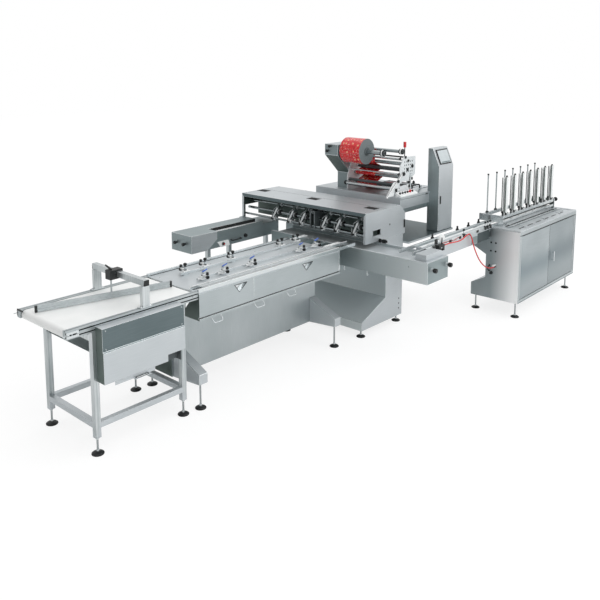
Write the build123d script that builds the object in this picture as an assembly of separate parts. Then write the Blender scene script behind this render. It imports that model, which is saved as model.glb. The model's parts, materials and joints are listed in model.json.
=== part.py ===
"""Tray loading line: infeed belt table, lane feeder, cross conveyor, flow wrapper and tray dispenser.

Layout datum: the floor under the near leg at the infeed end. X runs with the product flow, Y runs
away from the operator side and Z is up. At the end all pieces are moved together, so that the origin
lies on the floor under the middle of the line. All lengths are millimetres.
"""

import os
from math import asin, atan2, cos, hypot, pi, radians, sin, tan

from build123d import *

# Clearances and sheet thicknesses shared by all pieces
FIT = 0.3
PIN_FIT = 0.1
RUN = 5.0
SHEET = 3.0
WALL = 6.0

# Flat sides of round bars, from fine to coarse
FINE_SIDES = 24
MEDIUM_SIDES = 12
COARSE_SIDES = 8
HEX_SIDES = 6

# Levelling feet
PAD_DIAMETER = 84.0
PAD_EDGE = 7.0
PAD_HEIGHT = 20.0
PAD_SIDES = 14
PAD_CROWN = 16.0
FOOT_ROD = 14.0
FOOT_NUT = 24.0
FOOT_NUT_HEIGHT = 12.0
FOOT_INSET = 40.0

# Clamping knobs
KNOB_DIAMETER = 30.0
KNOB_HEIGHT = 30.0
KNOB_SIDES = 10
KNOB_PROFILE = ((0.45, 0.0), (0.45, 0.4), (1.0, 0.6), (0.85, 1.0))
END_KNOB = (44.0, 56.0)
END_KNOB_PLACE = (67.0, 72.0)
SIDE_KNOB = (35.0, 39.0)

# Infeed belt table
TUBE = 40.0
TABLE_LEG_PITCH_X = 705.0
TABLE_LEG_PITCH_Y = 585.0
TABLE_LEG_BOTTOM = 115.0
RAIL_HEIGHT = 56.0
RAIL_TOP = 890.0
RAIL_SLOT = 8.0
RAIL_SLOT_DEPTH = 9.0
RAIL_SLOT_SHARES = (0.25, 0.75)
RAIL_OVERHANG = 195.0
STRETCHER_BOTTOM = 180.0
CROSS_TUBE_DROP = 24.0
BELT_BELOW_RAIL = 5.0
BELT_THICKNESS = 4.0
BELT_SIDE_GAP = 4.0
BELT_END_GAP = 8.0
ROLLER_DIAMETER = 56.0
ROLLER_SHAFT = 18.0
UNDER_TRAY_DEPTH = 90.0
TENSIONER_LENGTH = 84.0
TENSIONER_SLOT = (46.0, 10.0)

# Gantry over the infeed belt, with its clamp and the diagonal divider
GANTRY_PLACE = 404.0
GANTRY_POST = (60.0, 30.0)
GANTRY_BEAM = (40.0, 42.0)
GANTRY_TOP = 1082.0
GANTRY_PLATE = (100.0, 6.0)
GANTRY_CAP = 12.0
CLAMP_LENGTH = 62.0
CLAMP_WALL = 12.0
CLAMP_REACH = 52.0
CLAMP_ROD = 12.0
CLAMP_LEVER = (64.0, 26.0, 10.0)
DIVIDER_THICKNESS = 14.0
DIVIDER_HEIGHT = 45.0
DIVIDER_LIFT = 4.0
DIVIDER_START = (-150.0, 450.0)
DIVIDER_END = (800.0, 223.0)
DIVIDER_CAP = 16.0
DIVIDER_CAP_WIDTH = 16.0

# Guard over the belt drive, and its gearmotor
GUARD_INSET = 5.0
GUARD_END_GAP = 50.0
GUARD_TOP = 868.0
GUARD_SPLIT = 708.0
GUARD_BOTTOM = 500.0
GUARD_DEPTH = 85.0
GUARD_STEP = 7.0
GUARD_NOTCH = (150.0, 46.0)
GUARD_LIP = (85.0, 315.0, 34.0)
GRIP_PLACE = 140.0
GRIP_SIZE = (125.0, 26.0, 4.0)
GRIP_FRAME = (14.0, 7.0)
MOTOR_BOX = (92.0, 110.0, 120.0)
MOTOR_CORNER = 14.0
MOTOR_PLATE = 8.0
MOTOR_DIAMETER = 96.0
MOTOR_LENGTH = 150.0
MOTOR_BOTTOM = 430.0

# Lane feeder
FEEDER_START = 850.0
FEEDER_LENGTH = 1620.0
FEEDER_NEAR = -30.0
FEEDER_FAR = 610.0
FEEDER_BOTTOM = 668.0
FEEDER_SIDE_TOP = 872.0
DECK_THICKNESS = 8.0
DECK_INSET = 6.0
FEEDER_SKIRT = 26.0
FEEDER_GROOVE = 10.0
PANEL_SEAM = 3.0
PANEL_SEAM_PLACE = 550.0
HANDLE_WIDTH = 132.0
HANDLE_HEIGHT = 62.0
HANDLE_DEPTH = 22.0
HANDLE_MARGIN = 14.0
HANDLE_SKEW = 16.5
HANDLE_PLACES = (412.0, 1186.0)
NEAR_RAIL = (20.0, 24.0)
LANE_RAIL = (16.0, 20.0)
LANE_RAIL_INSET = 92.0
RAIL_OVERRUN = 232.0
CLEAR_STRIP_THICKNESS = 4.0
CLEAR_STRIP_MARGINS = (60.0, 20.0)
SPINE_OVERHANG = (50.0, 20.0)
SPINE_NEAR = 245.0
SPINE_BOTTOM = 176.0
SPINE_FLANGE = (14.0, 18.0)
SPINE_BAY = (160.0, 40.0, 120.0)
OUTRIGGER_WIDTH = 80.0
OUTRIGGER_REACH = 305.0
OUTRIGGER_NOSE = 75.0
OUTRIGGER_ROOT = 232.0
OUTRIGGER_NOSE_RISE = 24.0

# Lane guides on the feeder deck
GUIDE_Y = (215.0, 405.0)
GUIDE_BAR = (8.0, 18.0)
GUIDE_MARGINS = (180.0, 130.0)
GUIDE_LIFT = 6.0
STATION_PLACES = (233.0, 437.0, 740.0, 1340.0, 1550.0)
STATION_POST = 14.0
STATION_HEIGHT = 62.0
STATION_FOOT = (44.0, 26.0, 6.0)
STATION_ARM = (10.0, 30.0)
STATION_LEVER = (46.0, 12.0, 6.0)

# Cross conveyor trough and the base body that carries it
CROSS_GAP = 170.0
TROUGH_WIDTH = 335.0
TROUGH_NEAR = -830.0
TROUGH_FAR = 985.0
TROUGH_BOTTOM = 685.0
TROUGH_TOP = 875.0
TROUGH_WALL = 22.0
TROUGH_CHANNEL = 26.0
TROUGH_CLOSED_END = 250.0
HOOK = (8.0, 8.0, 42.0)
HOOK_PLACES = (-200.0, 60.0)
END_GUARD_Y = (40.0, 150.0)
END_GUARD_MARGINS = (40.0, 20.0)
END_GUARD_HEIGHTS = (22.0, 52.0)
BASE_NEAR = -100.0
BASE_FAR = 1100.0
BASE_SETBACK = 75.0
BASE_LENGTH = 655.0
BASE_BOTTOM = 70.0
BASE_TOE_TOP = 150.0
SHELF_TOP = 295.0
SHELF_LENGTH = 350.0
COLUMN_BEND = (25.0, 12.0)
SADDLE_SETBACK = 45.0
SADDLE_HEIGHT = 45.0
DECK_LEVEL = 885.0

# Cover over the cross conveyor, and the transfer bars under it
HOUSING_SETBACK = 115.0
HOUSING_LENGTH = 645.0
HOUSING_NEAR = -100.0
HOUSING_FAR = 1530.0
HOUSING_TOP = 1175.0
HOUSING_CHAMFER = 84.0
HOUSING_LIP = 34.0
HOUSING_LEG = 44.0
HOUSING_APRON = 132.0
HOUSING_FLANGE = 26.0
HOUSING_SEAM = (330.0, 3.0, 2.0)
WINDOW_PLACE = (111.0, 945.0)
WINDOW_SIZE = (120.0, 52.0)
RECESS_SETBACK = 248.0
RECESS_SIZE = (110.0, 46.0, 3.0)
RECESS_CORNER = 0.3
RECESS_Y = (20.0, 740.0, 1452.0)
BAR_HEIGHTS = (955.0, 1015.0, 1085.0)
BAR_SETBACKS = (45.0, 95.0, 145.0)
BAR_DIAMETERS = (22.0, 28.0, 22.0)
CLAMP_STATIONS = (40.0, 250.0, 420.0, 700.0, 860.0, 1080.0)
V_BLOCK = (30.0, 22.0)
CARRIAGE_Y = (535.0, 600.0)
CARRIAGE_DROP = 26.0

# Side conveyor that meets the cross conveyor at its far end
SIDE_LENGTH = 1195.0
SIDE_OVERLAP = 10.0
SIDE_NEAR = 1215.0
SIDE_FAR = 1500.0
SIDE_BOTTOM = 755.0
SIDE_TOP = 925.0
SIDE_DRIVE_LENGTH = 320.0
SIDE_COVER = (14.0, 120.0, 88.0)
SIDE_LANE = 120.0
SIDE_LANE_TOP = 890.0
SIDE_RAIL = (14.0, 27.0)
SIDE_LEG = 40.0
SIDE_LEG_PLACES = (330.0, 610.0, 1140.0)
SWITCH_PLACE = 327.0
SWITCH_PLATE = (140.0, 40.0, 56.0, 12.0)

# Flow wrapper
BED_THICKNESS = 20.0
BED_TOP = 810.0
BED_NEAR = -165.0
WRAPPER_LENGTH = 845.0
CABINET_NEAR = 550.0
CABINET_FAR = 1050.0
BODY_NEAR = -45.0
BODY_BOTTOM = 1055.0
BODY_TOP = 1225.0
BODY_BAND = (18.0, 5.0)
BODY_SLOPE = (54.0, 34.0)
COLUMN_NEAR = -150.0
COLUMN_FAR = -15.0
COLUMN_WIDTH = 281.0
COLUMN_TOP = 1670.0
COLUMN_TOP_DEPTH = 55.0
SCREEN_FOOT = 1484.0
SCREEN_MARGIN = 30.0
SCREEN_END_MARGIN = 21.0
SCREEN_THICKNESS = 8.0

# Film unwind over the wrapper, placed from the wrapper's front edge
POST_SETBACK = (100.0, 240.0)
UNWIND_NEAR = 658.0
UNWIND_DEPTH = 174.0
POST_HEIGHT = 169.0
HEAD_SETBACK = (-115.0, 212.0)
HEAD_HEIGHTS = (370.0, 483.0)
ROLL_PLACE = (0.0, 425.0)
ROLL_DIAMETER = 262.0
ROLL_NEAR = 375.0
ROLL_WIDTH = 250.0
MANDREL_DIAMETER = 44.0
MANDREL_NEAR = 150.0
SPLICE_PLACE = (162.0, 435.0)
SPLICE_DIAMETER = 34.0
SPLICE_NEAR = 40.0
SHAFT_COLLAR = (8.0, 36.0, 11.0)
BEARING_DEPTH = 60.0
PLATE_NEAR = 50.0
PLATE_THICKNESS = 10.0
FILM_THICKNESS = 1.0
FILM_ROLLERS = (
    (160.0, 315.0, 36.0, 1),
    (240.0, 240.0, 44.0, -1),
    (160.0, 175.0, 30.0, 1),
    (290.0, 165.0, 50.0, -1),
    (190.0, 75.0, 36.0, 1),
    (300.0, 45.0, 30.0, -1),
)
IDLE_ROLLER = (70.0, 110.0, 30.0)
FAR_PLATE = ((40.0, 0.0), (40.0, 145.0), (130.0, 365.0), (290.0, 365.0), (370.0, 245.0), (370.0, 0.0))
NEAR_PLATE = (
    (25.0, 0.0), (5.0, 75.0), (70.0, 125.0), (120.0, 195.0), (120.0, 285.0), (188.0, 383.0),
    (394.0, 371.0), (394.0, 189.0), (325.0, 150.0), (325.0, 20.0), (300.0, 0.0),
)
PLATE_WINDOW = ((150.0, 90.0), (150.0, 130.0), (250.0, 130.0), (250.0, 90.0))
LEVER_OUTLINE = ((148.0, 227.0), (166.0, 211.0), (-110.0, -9.0), (-128.0, 7.0))
LEVER_THICKNESS = 12.0
LAMP_PLACE = 203.0
LAMP_STEM = (10.0, 95.0)
LAMP_CAP = (30.0, 56.0)
CONSOLE_PLACE = 20.0
CONSOLE = (305.0, 64.0, 42.0)
CONSOLE_FRONT = 12.6
CONSOLE_NEAR = -30.0
TOP_RAIL = (12.0, 36.0, 60.0)

# Tray conveyor from the trough to the dispenser
TRAY_RUN = 1195.0
TRAY_NEAR = -650.0
TRAY_FAR = -500.0
TRAY_BOTTOM = 790.0
TRAY_TOP = 925.0
TRAY_END_GAP = 330.0
TRAY_RAIL = (14.0, 30.0)
SLIDE_STRIP = (22.0, 8.0)
SLIDE_STRIP_Y = (34.0, 94.0)
TRAY_RAIL_OVERRUN = (275.0, 120.0)
DRIVE_BOX = (20.0, 110.0, 96.0)
VALVE_PLACE = 85.0
VALVE_SIZE = (90.0, 40.0, 56.0)
VALVE_DROP = 39.0
SENSOR_PLACE = 170.0
SENSOR_SIZE = (36.0, 12.0, 46.0)
FITTING_DIAMETER = 20.0
FITTING_LENGTH = 20.0

# Air hose, along X from the trough, at its distance before the conveyor and its height
HOSE_DIAMETER = 12.0
HOSE_SIDES = 8
HOSE_ARC_SHARE = 0.45
HOSE_FITTING_Y = -672.0
HOSE_ROUTE = (
    (0.0, 0.0, 905.0),
    (110.0, 0.0, 905.0),
    (290.0, 6.0, 888.0),
    (420.0, 0.0, 925.0),
    (490.0, 0.0, 925.0),
    (560.0, 5.0, 765.0),
    (680.0, 12.0, 600.0),
    (860.0, 15.0, 492.0),
)
CLIP_SIZE = (10.0, 34.0, 6.0)

# Tray dispenser
DISP_LENGTH = 1450.0
DISP_NEAR = -940.0
DISP_DEPTH = 359.0
DISP_FOOT_DEPTH = 515.0
DISP_BOTTOM = 151.0
DISP_TOP = 880.0
DISP_TOE_TOP = 280.0
DISP_NOTCH = (362.0, 602.0)
DISP_EAR_LOW = 682.0
DISP_EAR_GAP = 8.0
DISP_WALL = 16.0
DOOR_FRAME_SIDE = 46.0
DOOR_FRAME_TOP = 40.0
DOOR_FRAME_BOTTOM = 34.0
DOOR_THICKNESS = 20.0
DOOR_SKIN = 4.0
DOOR_HEM = 26.0
DOOR_GAP = 6.0
HINGE_PIN = 8.0
HINGE_PIN_LENGTH = 14.0
PULL_OFFSET = 84.0
PULL_LENGTH = 104.0
PULL_REACH = 24.0
PULL_DIAMETER = 12.0
PULL_STUD = 9.6
PULL_DROP = 25.0
COUNTER_RIM = 44.0
COUNTER_RECESS = 6.0

# Tray magazine on the dispenser
GUIDE_COUNT = 7
MAGAZINE_FIRST = 175.0
MAGAZINE_PITCH = 190.0
MAGAZINE_END = 70.0
MAGAZINE_NEAR = -700.0
MAGAZINE_FAR = -500.0
MAGAZINE_BAR = (26.0, 34.0)
MAGAZINE_BAR_TOP = 1000.0
MAGAZINE_LOW_BAR = (16.0, 24.0, 940.0)
MAGAZINE_PLATE = 16.0
MAGAZINE_REACH = 30.0
TRAY_GUIDE_HEIGHT = 390.0
TRAY_GUIDE_WIDTH = 46.0
TRAY_GUIDE_THICKNESS = 4.0
GUIDE_SIDES = 12
GUIDE_SEAT = (50.0, 36.0, 22.0)
GUIDE_ROD = 14.0
ROD_CAP = (20.0, 14.0)
STAY_DIAMETER = 10.0
STAY_REACH = 150.0
WHEEL_DIAMETER = 46.0
WHEEL_STEM = (12.0, 54.0)
WHEEL_THICKNESS = 22.0
WHEEL_CROWN = 18.4

# Sizes worked out from the driving ones
table_far = TABLE_LEG_PITCH_Y
rail_start = -RAIL_OVERHANG
rail_end = FEEDER_START - FIT
rail_bottom = RAIL_TOP - RAIL_HEIGHT
rail_inner = (TUBE / 2, table_far - TUBE / 2)
belt_top = RAIL_TOP - BELT_BELOW_RAIL
roller_radius = ROLLER_DIAMETER / 2
roller_z = belt_top - BELT_THICKNESS - FIT - roller_radius
belt_loop_radius = roller_radius + FIT + BELT_THICKNESS
roller_x = (rail_start + BELT_END_GAP + belt_loop_radius, rail_end - BELT_END_GAP - belt_loop_radius)
feeder_end = FEEDER_START + FEEDER_LENGTH
deck_top = FEEDER_SIDE_TOP + DECK_THICKNESS
spine_x = (FEEDER_START - SPINE_OVERHANG[0], feeder_end - SPINE_OVERHANG[1])
trough_front = feeder_end + CROSS_GAP
trough_back = trough_front + TROUGH_WIDTH
base_front = trough_front + BASE_SETBACK
base_back = base_front + BASE_LENGTH
housing_front = trough_front + HOUSING_SETBACK
housing_back = housing_front + HOUSING_LENGTH
side_end = trough_back + SIDE_OVERLAP
side_start = side_end - SIDE_LENGTH
side_drive_end = side_start + SIDE_DRIVE_LENGTH
wrapper_start = base_back + FIT
wrapper_end = wrapper_start + WRAPPER_LENGTH
body_front = housing_back + FIT
column_start = wrapper_end - COLUMN_WIDTH
disp_left = trough_back + TRAY_RUN
disp_right = disp_left + DISP_LENGTH
disp_far = DISP_NEAR + DISP_DEPTH
disp_foot_far = DISP_NEAR + DISP_FOOT_DEPTH
rail_seat = TRAY_TOP - TRAY_RAIL[1]
counter_top = rail_seat - FIT
magazine_first = disp_left + MAGAZINE_FIRST
magazine_x = (
    magazine_first - MAGAZINE_END,
    magazine_first + (GUIDE_COUNT - 1) * MAGAZINE_PITCH + MAGAZINE_END,
)


def block(x, y, z):
    """A rectangular solid between pairs of limits."""
    size = Box(x[1] - x[0], y[1] - y[0], z[1] - z[0])
    return Pos((x[0] + x[1]) / 2, (y[0] + y[1]) / 2, (z[0] + z[1]) / 2) * size


def around(middle, width):
    """The pair of limits at equal distances from a middle."""
    return (middle - width / 2, middle + width / 2)


def prism_xz(points, y):
    """An outline in the X-Z plane, drawn out from y[0] to y[1]."""
    face = Face(Wire.make_polygon([(px, y[0], pz) for px, pz in points], close=True))
    return extrude(face, amount=y[1] - y[0], dir=(0, 1, 0))


def prism_yz(points, x):
    """An outline in the Y-Z plane, drawn out from x[0] to x[1]."""
    face = Face(Wire.make_polygon([(x[0], py, pz) for py, pz in points], close=True))
    return extrude(face, amount=x[1] - x[0], dir=(1, 0, 0))


def bar(start, end, diameter, sides=0):
    """A bar between two points: round, or with a number of flat sides."""
    axis = Vector(*end) - Vector(*start)
    place = Plane(origin=start, z_dir=axis)
    if sides:
        return place * extrude(RegularPolygon(diameter / 2, sides), axis.length)
    return place * Cylinder(diameter / 2, axis.length, align=(Align.CENTER, Align.CENTER, Align.MIN))


def stepped(levels, sides):
    """A solid of regular sections, given as (radius, height) pairs and joined by flat flanks."""
    sections = [Pos(0, 0, height) * RegularPolygon(radius, sides) for radius, height in levels]
    return loft(sections, ruled=True)


def knob(base, direction, diameter=KNOB_DIAMETER, height=KNOB_HEIGHT):
    """A faceted clamping knob with a waist, standing on its base point along a direction."""
    levels = [(diameter / 2 * wide, height * high) for wide, high in KNOB_PROFILE]
    return Plane(origin=base, z_dir=direction) * stepped(levels, KNOB_SIDES)


def levelling_foot(x, y, top):
    """One levelling foot: moulded pad, hexagon nuts and threaded rod up to its seat."""
    radius = PAD_DIAMETER / 2
    pad = stepped(((radius, 0), (radius, PAD_EDGE), (PAD_CROWN, PAD_HEIGHT)), PAD_SIDES)
    nut = extrude(RegularPolygon(FOOT_NUT / 2, HEX_SIDES), FOOT_NUT_HEIGHT)
    rod = extrude(RegularPolygon(FOOT_ROD / 2, COARSE_SIDES), top - PAD_HEIGHT / 2)
    foot = pad + Pos(0, 0, PAD_HEIGHT) * nut + Pos(0, 0, PAD_HEIGHT / 2) * rod
    return Pos(x, y, 0) * (foot + Pos(0, 0, top - FOOT_NUT_HEIGHT) * nut)


def stadium(x, z, radius, y):
    """A flat loop shape: two half rounds joined by straight runs, drawn out along Y."""
    loop = block(x, y, (z - radius, z + radius))
    for end in x:
        loop += bar((end, y[0], z), (end, y[1], z), 2 * radius)
    return loop


def infeed_table():
    """Welded tube stand, slotted side rails, tensioners, belt loop and rollers of the infeed table."""
    half = TUBE / 2
    leg_x = (0.0, TABLE_LEG_PITCH_X)
    leg_y = (0.0, table_far)
    high_top = rail_bottom - CROSS_TUBE_DROP
    low = (STRETCHER_BOTTOM, STRETCHER_BOTTOM + TUBE)
    high = (high_top - TUBE, high_top)
    stand = Part()
    feet = []
    for x in leg_x:
        for y in leg_y:
            stand += block(around(x, TUBE), around(y, TUBE), (TABLE_LEG_BOTTOM, rail_bottom))
            feet.append(levelling_foot(x, y, TABLE_LEG_BOTTOM))
    for y in leg_y:
        stand += block((half, TABLE_LEG_PITCH_X - half), around(y, TUBE), low)
    for x in leg_x:
        for level in (low, high):
            stand += block(around(x, TUBE), (half, table_far - half), level)
    tray_floor = high[0] - UNDER_TRAY_DEPTH
    tray = block(leg_x, (half, table_far - half), (tray_floor, high[0]))
    tray -= block(leg_x, (half + SHEET, table_far - half - SHEET), (tray_floor + SHEET, high[0]))
    stand += tray

    bed_top = belt_top - BELT_THICKNESS - FIT
    bed_x = (roller_x[0] + roller_radius + RUN, roller_x[1] - roller_radius - RUN)
    rails = block(bed_x, rail_inner, (bed_top - SHEET, bed_top))
    for middle, outward in ((0.0, -1), (table_far, 1)):
        rails += slotted_rail(middle, outward)
        rails += tensioner(middle + outward * half, outward)

    belt_y = (rail_inner[0] + BELT_SIDE_GAP, rail_inner[1] - BELT_SIDE_GAP)
    belt = stadium(roller_x, roller_z, belt_loop_radius, belt_y)
    belt -= stadium(roller_x, roller_z, roller_radius + FIT, belt_y)
    rollers = []
    for x in roller_x:
        drum = bar((x, belt_y[0], roller_z), (x, belt_y[1], roller_z), ROLLER_DIAMETER)
        shaft = bar((x, rail_inner[0], roller_z), (x, rail_inner[1], roller_z), ROLLER_SHAFT, HEX_SIDES)
        rollers.append(drum + shaft)
    return {
        "infeed_stand": [stand],
        "infeed_rails": [rails],
        "infeed_belt": [belt],
        "infeed_rollers": rollers,
        "levelling_feet": feet,
    }


def slotted_rail(middle, outward):
    """One side rail of the table, with two slots in its outer face and one on top."""
    section = Pos(middle, rail_bottom + RAIL_HEIGHT / 2) * Rectangle(TUBE, RAIL_HEIGHT)
    slot_y = middle + outward * (TUBE - RAIL_SLOT_DEPTH) / 2
    for share in RAIL_SLOT_SHARES:
        section -= Pos(slot_y, rail_bottom + share * RAIL_HEIGHT) * Rectangle(RAIL_SLOT_DEPTH, RAIL_SLOT)
    section -= Pos(middle, RAIL_TOP - RAIL_SLOT_DEPTH / 2) * Rectangle(RAIL_SLOT, RAIL_SLOT_DEPTH)
    return Pos(rail_start, 0, 0) * extrude(Plane.YZ * section, rail_end - rail_start)


def tensioner(face_y, outward):
    """The bracket that tensions the belt: a slotted plate and its adjusting screw."""
    y = sorted((face_y, face_y + outward * WALL))
    x = (rail_start, rail_start + TENSIONER_LENGTH)
    z = around(rail_bottom + RAIL_HEIGHT / 2, RAIL_HEIGHT - 2 * RAIL_SLOT)
    plate = block(x, y, z)
    middle = (sum(x) / 2, sum(y) / 2, sum(z) / 2)
    plate -= block(around(middle[0], TENSIONER_SLOT[0]), y, around(middle[2], TENSIONER_SLOT[1]))
    screw_start = (x[0] - FOOT_NUT, middle[1], middle[2])
    return plate + bar(screw_start, (x[0], middle[1], middle[2]), WALL, HEX_SIDES)


def gantry():
    """Bridge over the infeed belt, the clamp on its beam and the diagonal divider that hangs from it."""
    beam_z = (GANTRY_TOP - GANTRY_BEAM[1], GANTRY_TOP)
    beam_x = around(GANTRY_PLACE, GANTRY_BEAM[0])
    reach = GANTRY_POST[1] / 2
    bridge = block(beam_x, (-reach, table_far + reach), beam_z)
    for y, outward in ((0.0, -1), (table_far, 1)):
        post_y = around(y, GANTRY_POST[1])
        plate_top = RAIL_TOP + GANTRY_PLATE[1]
        bridge += block(around(GANTRY_PLACE, GANTRY_POST[0]), post_y, (plate_top, beam_z[0]))
        bridge += block(around(GANTRY_PLACE, GANTRY_PLATE[0]), around(y, TUBE), (RAIL_TOP, plate_top))
        cap_y = sorted((y + outward * reach, y + outward * (reach + GANTRY_CAP)))
        bridge += block(beam_x, cap_y, beam_z)

    rod_x = beam_x[0] - FIT - CLAMP_REACH / 2
    run = (rod_x - DIVIDER_START[0]) / (DIVIDER_END[0] - DIVIDER_START[0])
    rod_y = DIVIDER_START[1] + run * (DIVIDER_END[1] - DIVIDER_START[1])
    clamp_y = around(rod_y, CLAMP_LENGTH)
    clamp_z = (beam_z[0] - FIT - CLAMP_WALL, beam_z[1] + FIT + CLAMP_WALL)
    clamp = block((beam_x[0] - FIT - CLAMP_REACH, beam_x[1] + FIT + CLAMP_WALL), clamp_y, clamp_z)
    clamp -= block((beam_x[0] - FIT, beam_x[1] + FIT), clamp_y, (beam_z[0] - FIT, beam_z[1] + FIT))
    arm, rise, width = CLAMP_LEVER
    handle = [
        (rod_y - width, clamp_z[1]), (rod_y + width, clamp_z[1]), (rod_y + arm, clamp_z[1] + rise - width),
        (rod_y + arm, clamp_z[1] + rise), (rod_y - width, clamp_z[1] + width),
    ]
    clamp += prism_yz(handle, around(rod_x, width))

    divider_bottom = belt_top + DIVIDER_LIFT
    rod = bar((rod_x, rod_y, divider_bottom + DIVIDER_HEIGHT), (rod_x, rod_y, clamp_z[0]), CLAMP_ROD)
    start = Vector(*DIVIDER_START, divider_bottom)
    end = Vector(*DIVIDER_END, divider_bottom)
    length = (end - start).length
    place = Plane(origin=start, x_dir=end - start, z_dir=(0, 0, 1))
    profile = Rectangle(DIVIDER_THICKNESS, DIVIDER_HEIGHT, align=(Align.CENTER, Align.MIN))
    groove = Pos(DIVIDER_THICKNESS / 2, DIVIDER_HEIGHT / 2) * Rectangle(WALL, RAIL_SLOT)
    profile = profile - groove - mirror(groove, Plane.YZ)
    blade = place * Pos(DIVIDER_CAP, 0, 0) * extrude(Plane.YZ * profile, length - 2 * DIVIDER_CAP)
    cap_face = Rectangle(DIVIDER_CAP_WIDTH, DIVIDER_HEIGHT, align=(Align.CENTER, Align.MIN))
    cap = extrude(Plane.YZ * cap_face, DIVIDER_CAP)
    return {
        "gantry": [bridge],
        "gantry_clamp": [clamp],
        "divider_guide": [blade + rod],
        "divider_caps": [place * cap, place * Pos(length - DIVIDER_CAP, 0, 0) * cap],
    }


def belt_drive():
    """Two-band guard on the near side of the table, and the gearmotor behind it."""
    back = -TUBE / 2
    front = back - GUARD_DEPTH
    step = front + GUARD_STEP
    x = (GUARD_INSET, TABLE_LEG_PITCH_X - GUARD_END_GAP)
    outline = [
        (back, GUARD_TOP), (step, GUARD_TOP), (step, GUARD_SPLIT + GUARD_STEP), (front, GUARD_SPLIT),
        (front, GUARD_BOTTOM), (back, GUARD_BOTTOM),
    ]
    hollow = [
        (back, GUARD_TOP - SHEET), (step + SHEET, GUARD_TOP - SHEET), (step + SHEET, GUARD_SPLIT),
        (front + SHEET, GUARD_SPLIT - GUARD_STEP), (front + SHEET, GUARD_BOTTOM + SHEET),
        (back, GUARD_BOTTOM + SHEET),
    ]
    guard = prism_yz(outline, x) - prism_yz(hollow, (x[0] + SHEET, x[1] - SHEET))
    notch_z = (GUARD_BOTTOM, GUARD_BOTTOM + GUARD_NOTCH[1])
    guard -= block((x[1] - GUARD_NOTCH[0], x[1]), (front, back), notch_z)
    lip_x = (x[0] + GUARD_LIP[0], x[0] + GUARD_LIP[0] + GUARD_LIP[1])
    lip_y = (front + 2 * GUARD_STEP, front + 2 * GUARD_STEP + SHEET)
    lip_z = (GUARD_BOTTOM - GUARD_LIP[2], GUARD_BOTTOM)
    grip_x = (lip_x[0] + GRIP_PLACE, lip_x[0] + GRIP_PLACE + GRIP_SIZE[0])
    grip_y = (lip_y[0] - GRIP_SIZE[1], lip_y[0])
    grip_z = (lip_z[0], lip_z[0] + GRIP_SIZE[2])
    side, rim = GRIP_FRAME
    grip = block(grip_x, grip_y, grip_z)
    grip -= block((grip_x[0] + side, grip_x[1] - side), (grip_y[0] + rim, grip_y[1] - rim), grip_z)
    guard += block(lip_x, lip_y, lip_z) + grip

    plate_x = (TABLE_LEG_PITCH_X - TUBE / 2 - MOTOR_PLATE, TABLE_LEG_PITCH_X - TUBE / 2)
    motor_z = (MOTOR_BOTTOM, MOTOR_BOTTOM + MOTOR_BOX[2])
    motor_y = (TUBE / 2, TUBE / 2 + MOTOR_BOX[1])
    gearbox = block((plate_x[0] - MOTOR_BOX[0], plate_x[0]), motor_y, motor_z)
    gearbox = chamfer(gearbox.edges().filter_by(Axis.X), MOTOR_CORNER)
    axis = (sum(motor_y) / 2, sum(motor_z) / 2)
    motor_x = (plate_x[0] - MOTOR_BOX[0] - MOTOR_LENGTH, plate_x[0] - MOTOR_BOX[0])
    motor = bar((motor_x[0], *axis), (motor_x[1], *axis), MOTOR_DIAMETER)
    plate = block(plate_x, (-TUBE / 2, motor_y[1]), motor_z)
    return {"drive_guard": [guard], "belt_gearmotor": [plate + gearbox + motor]}


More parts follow.
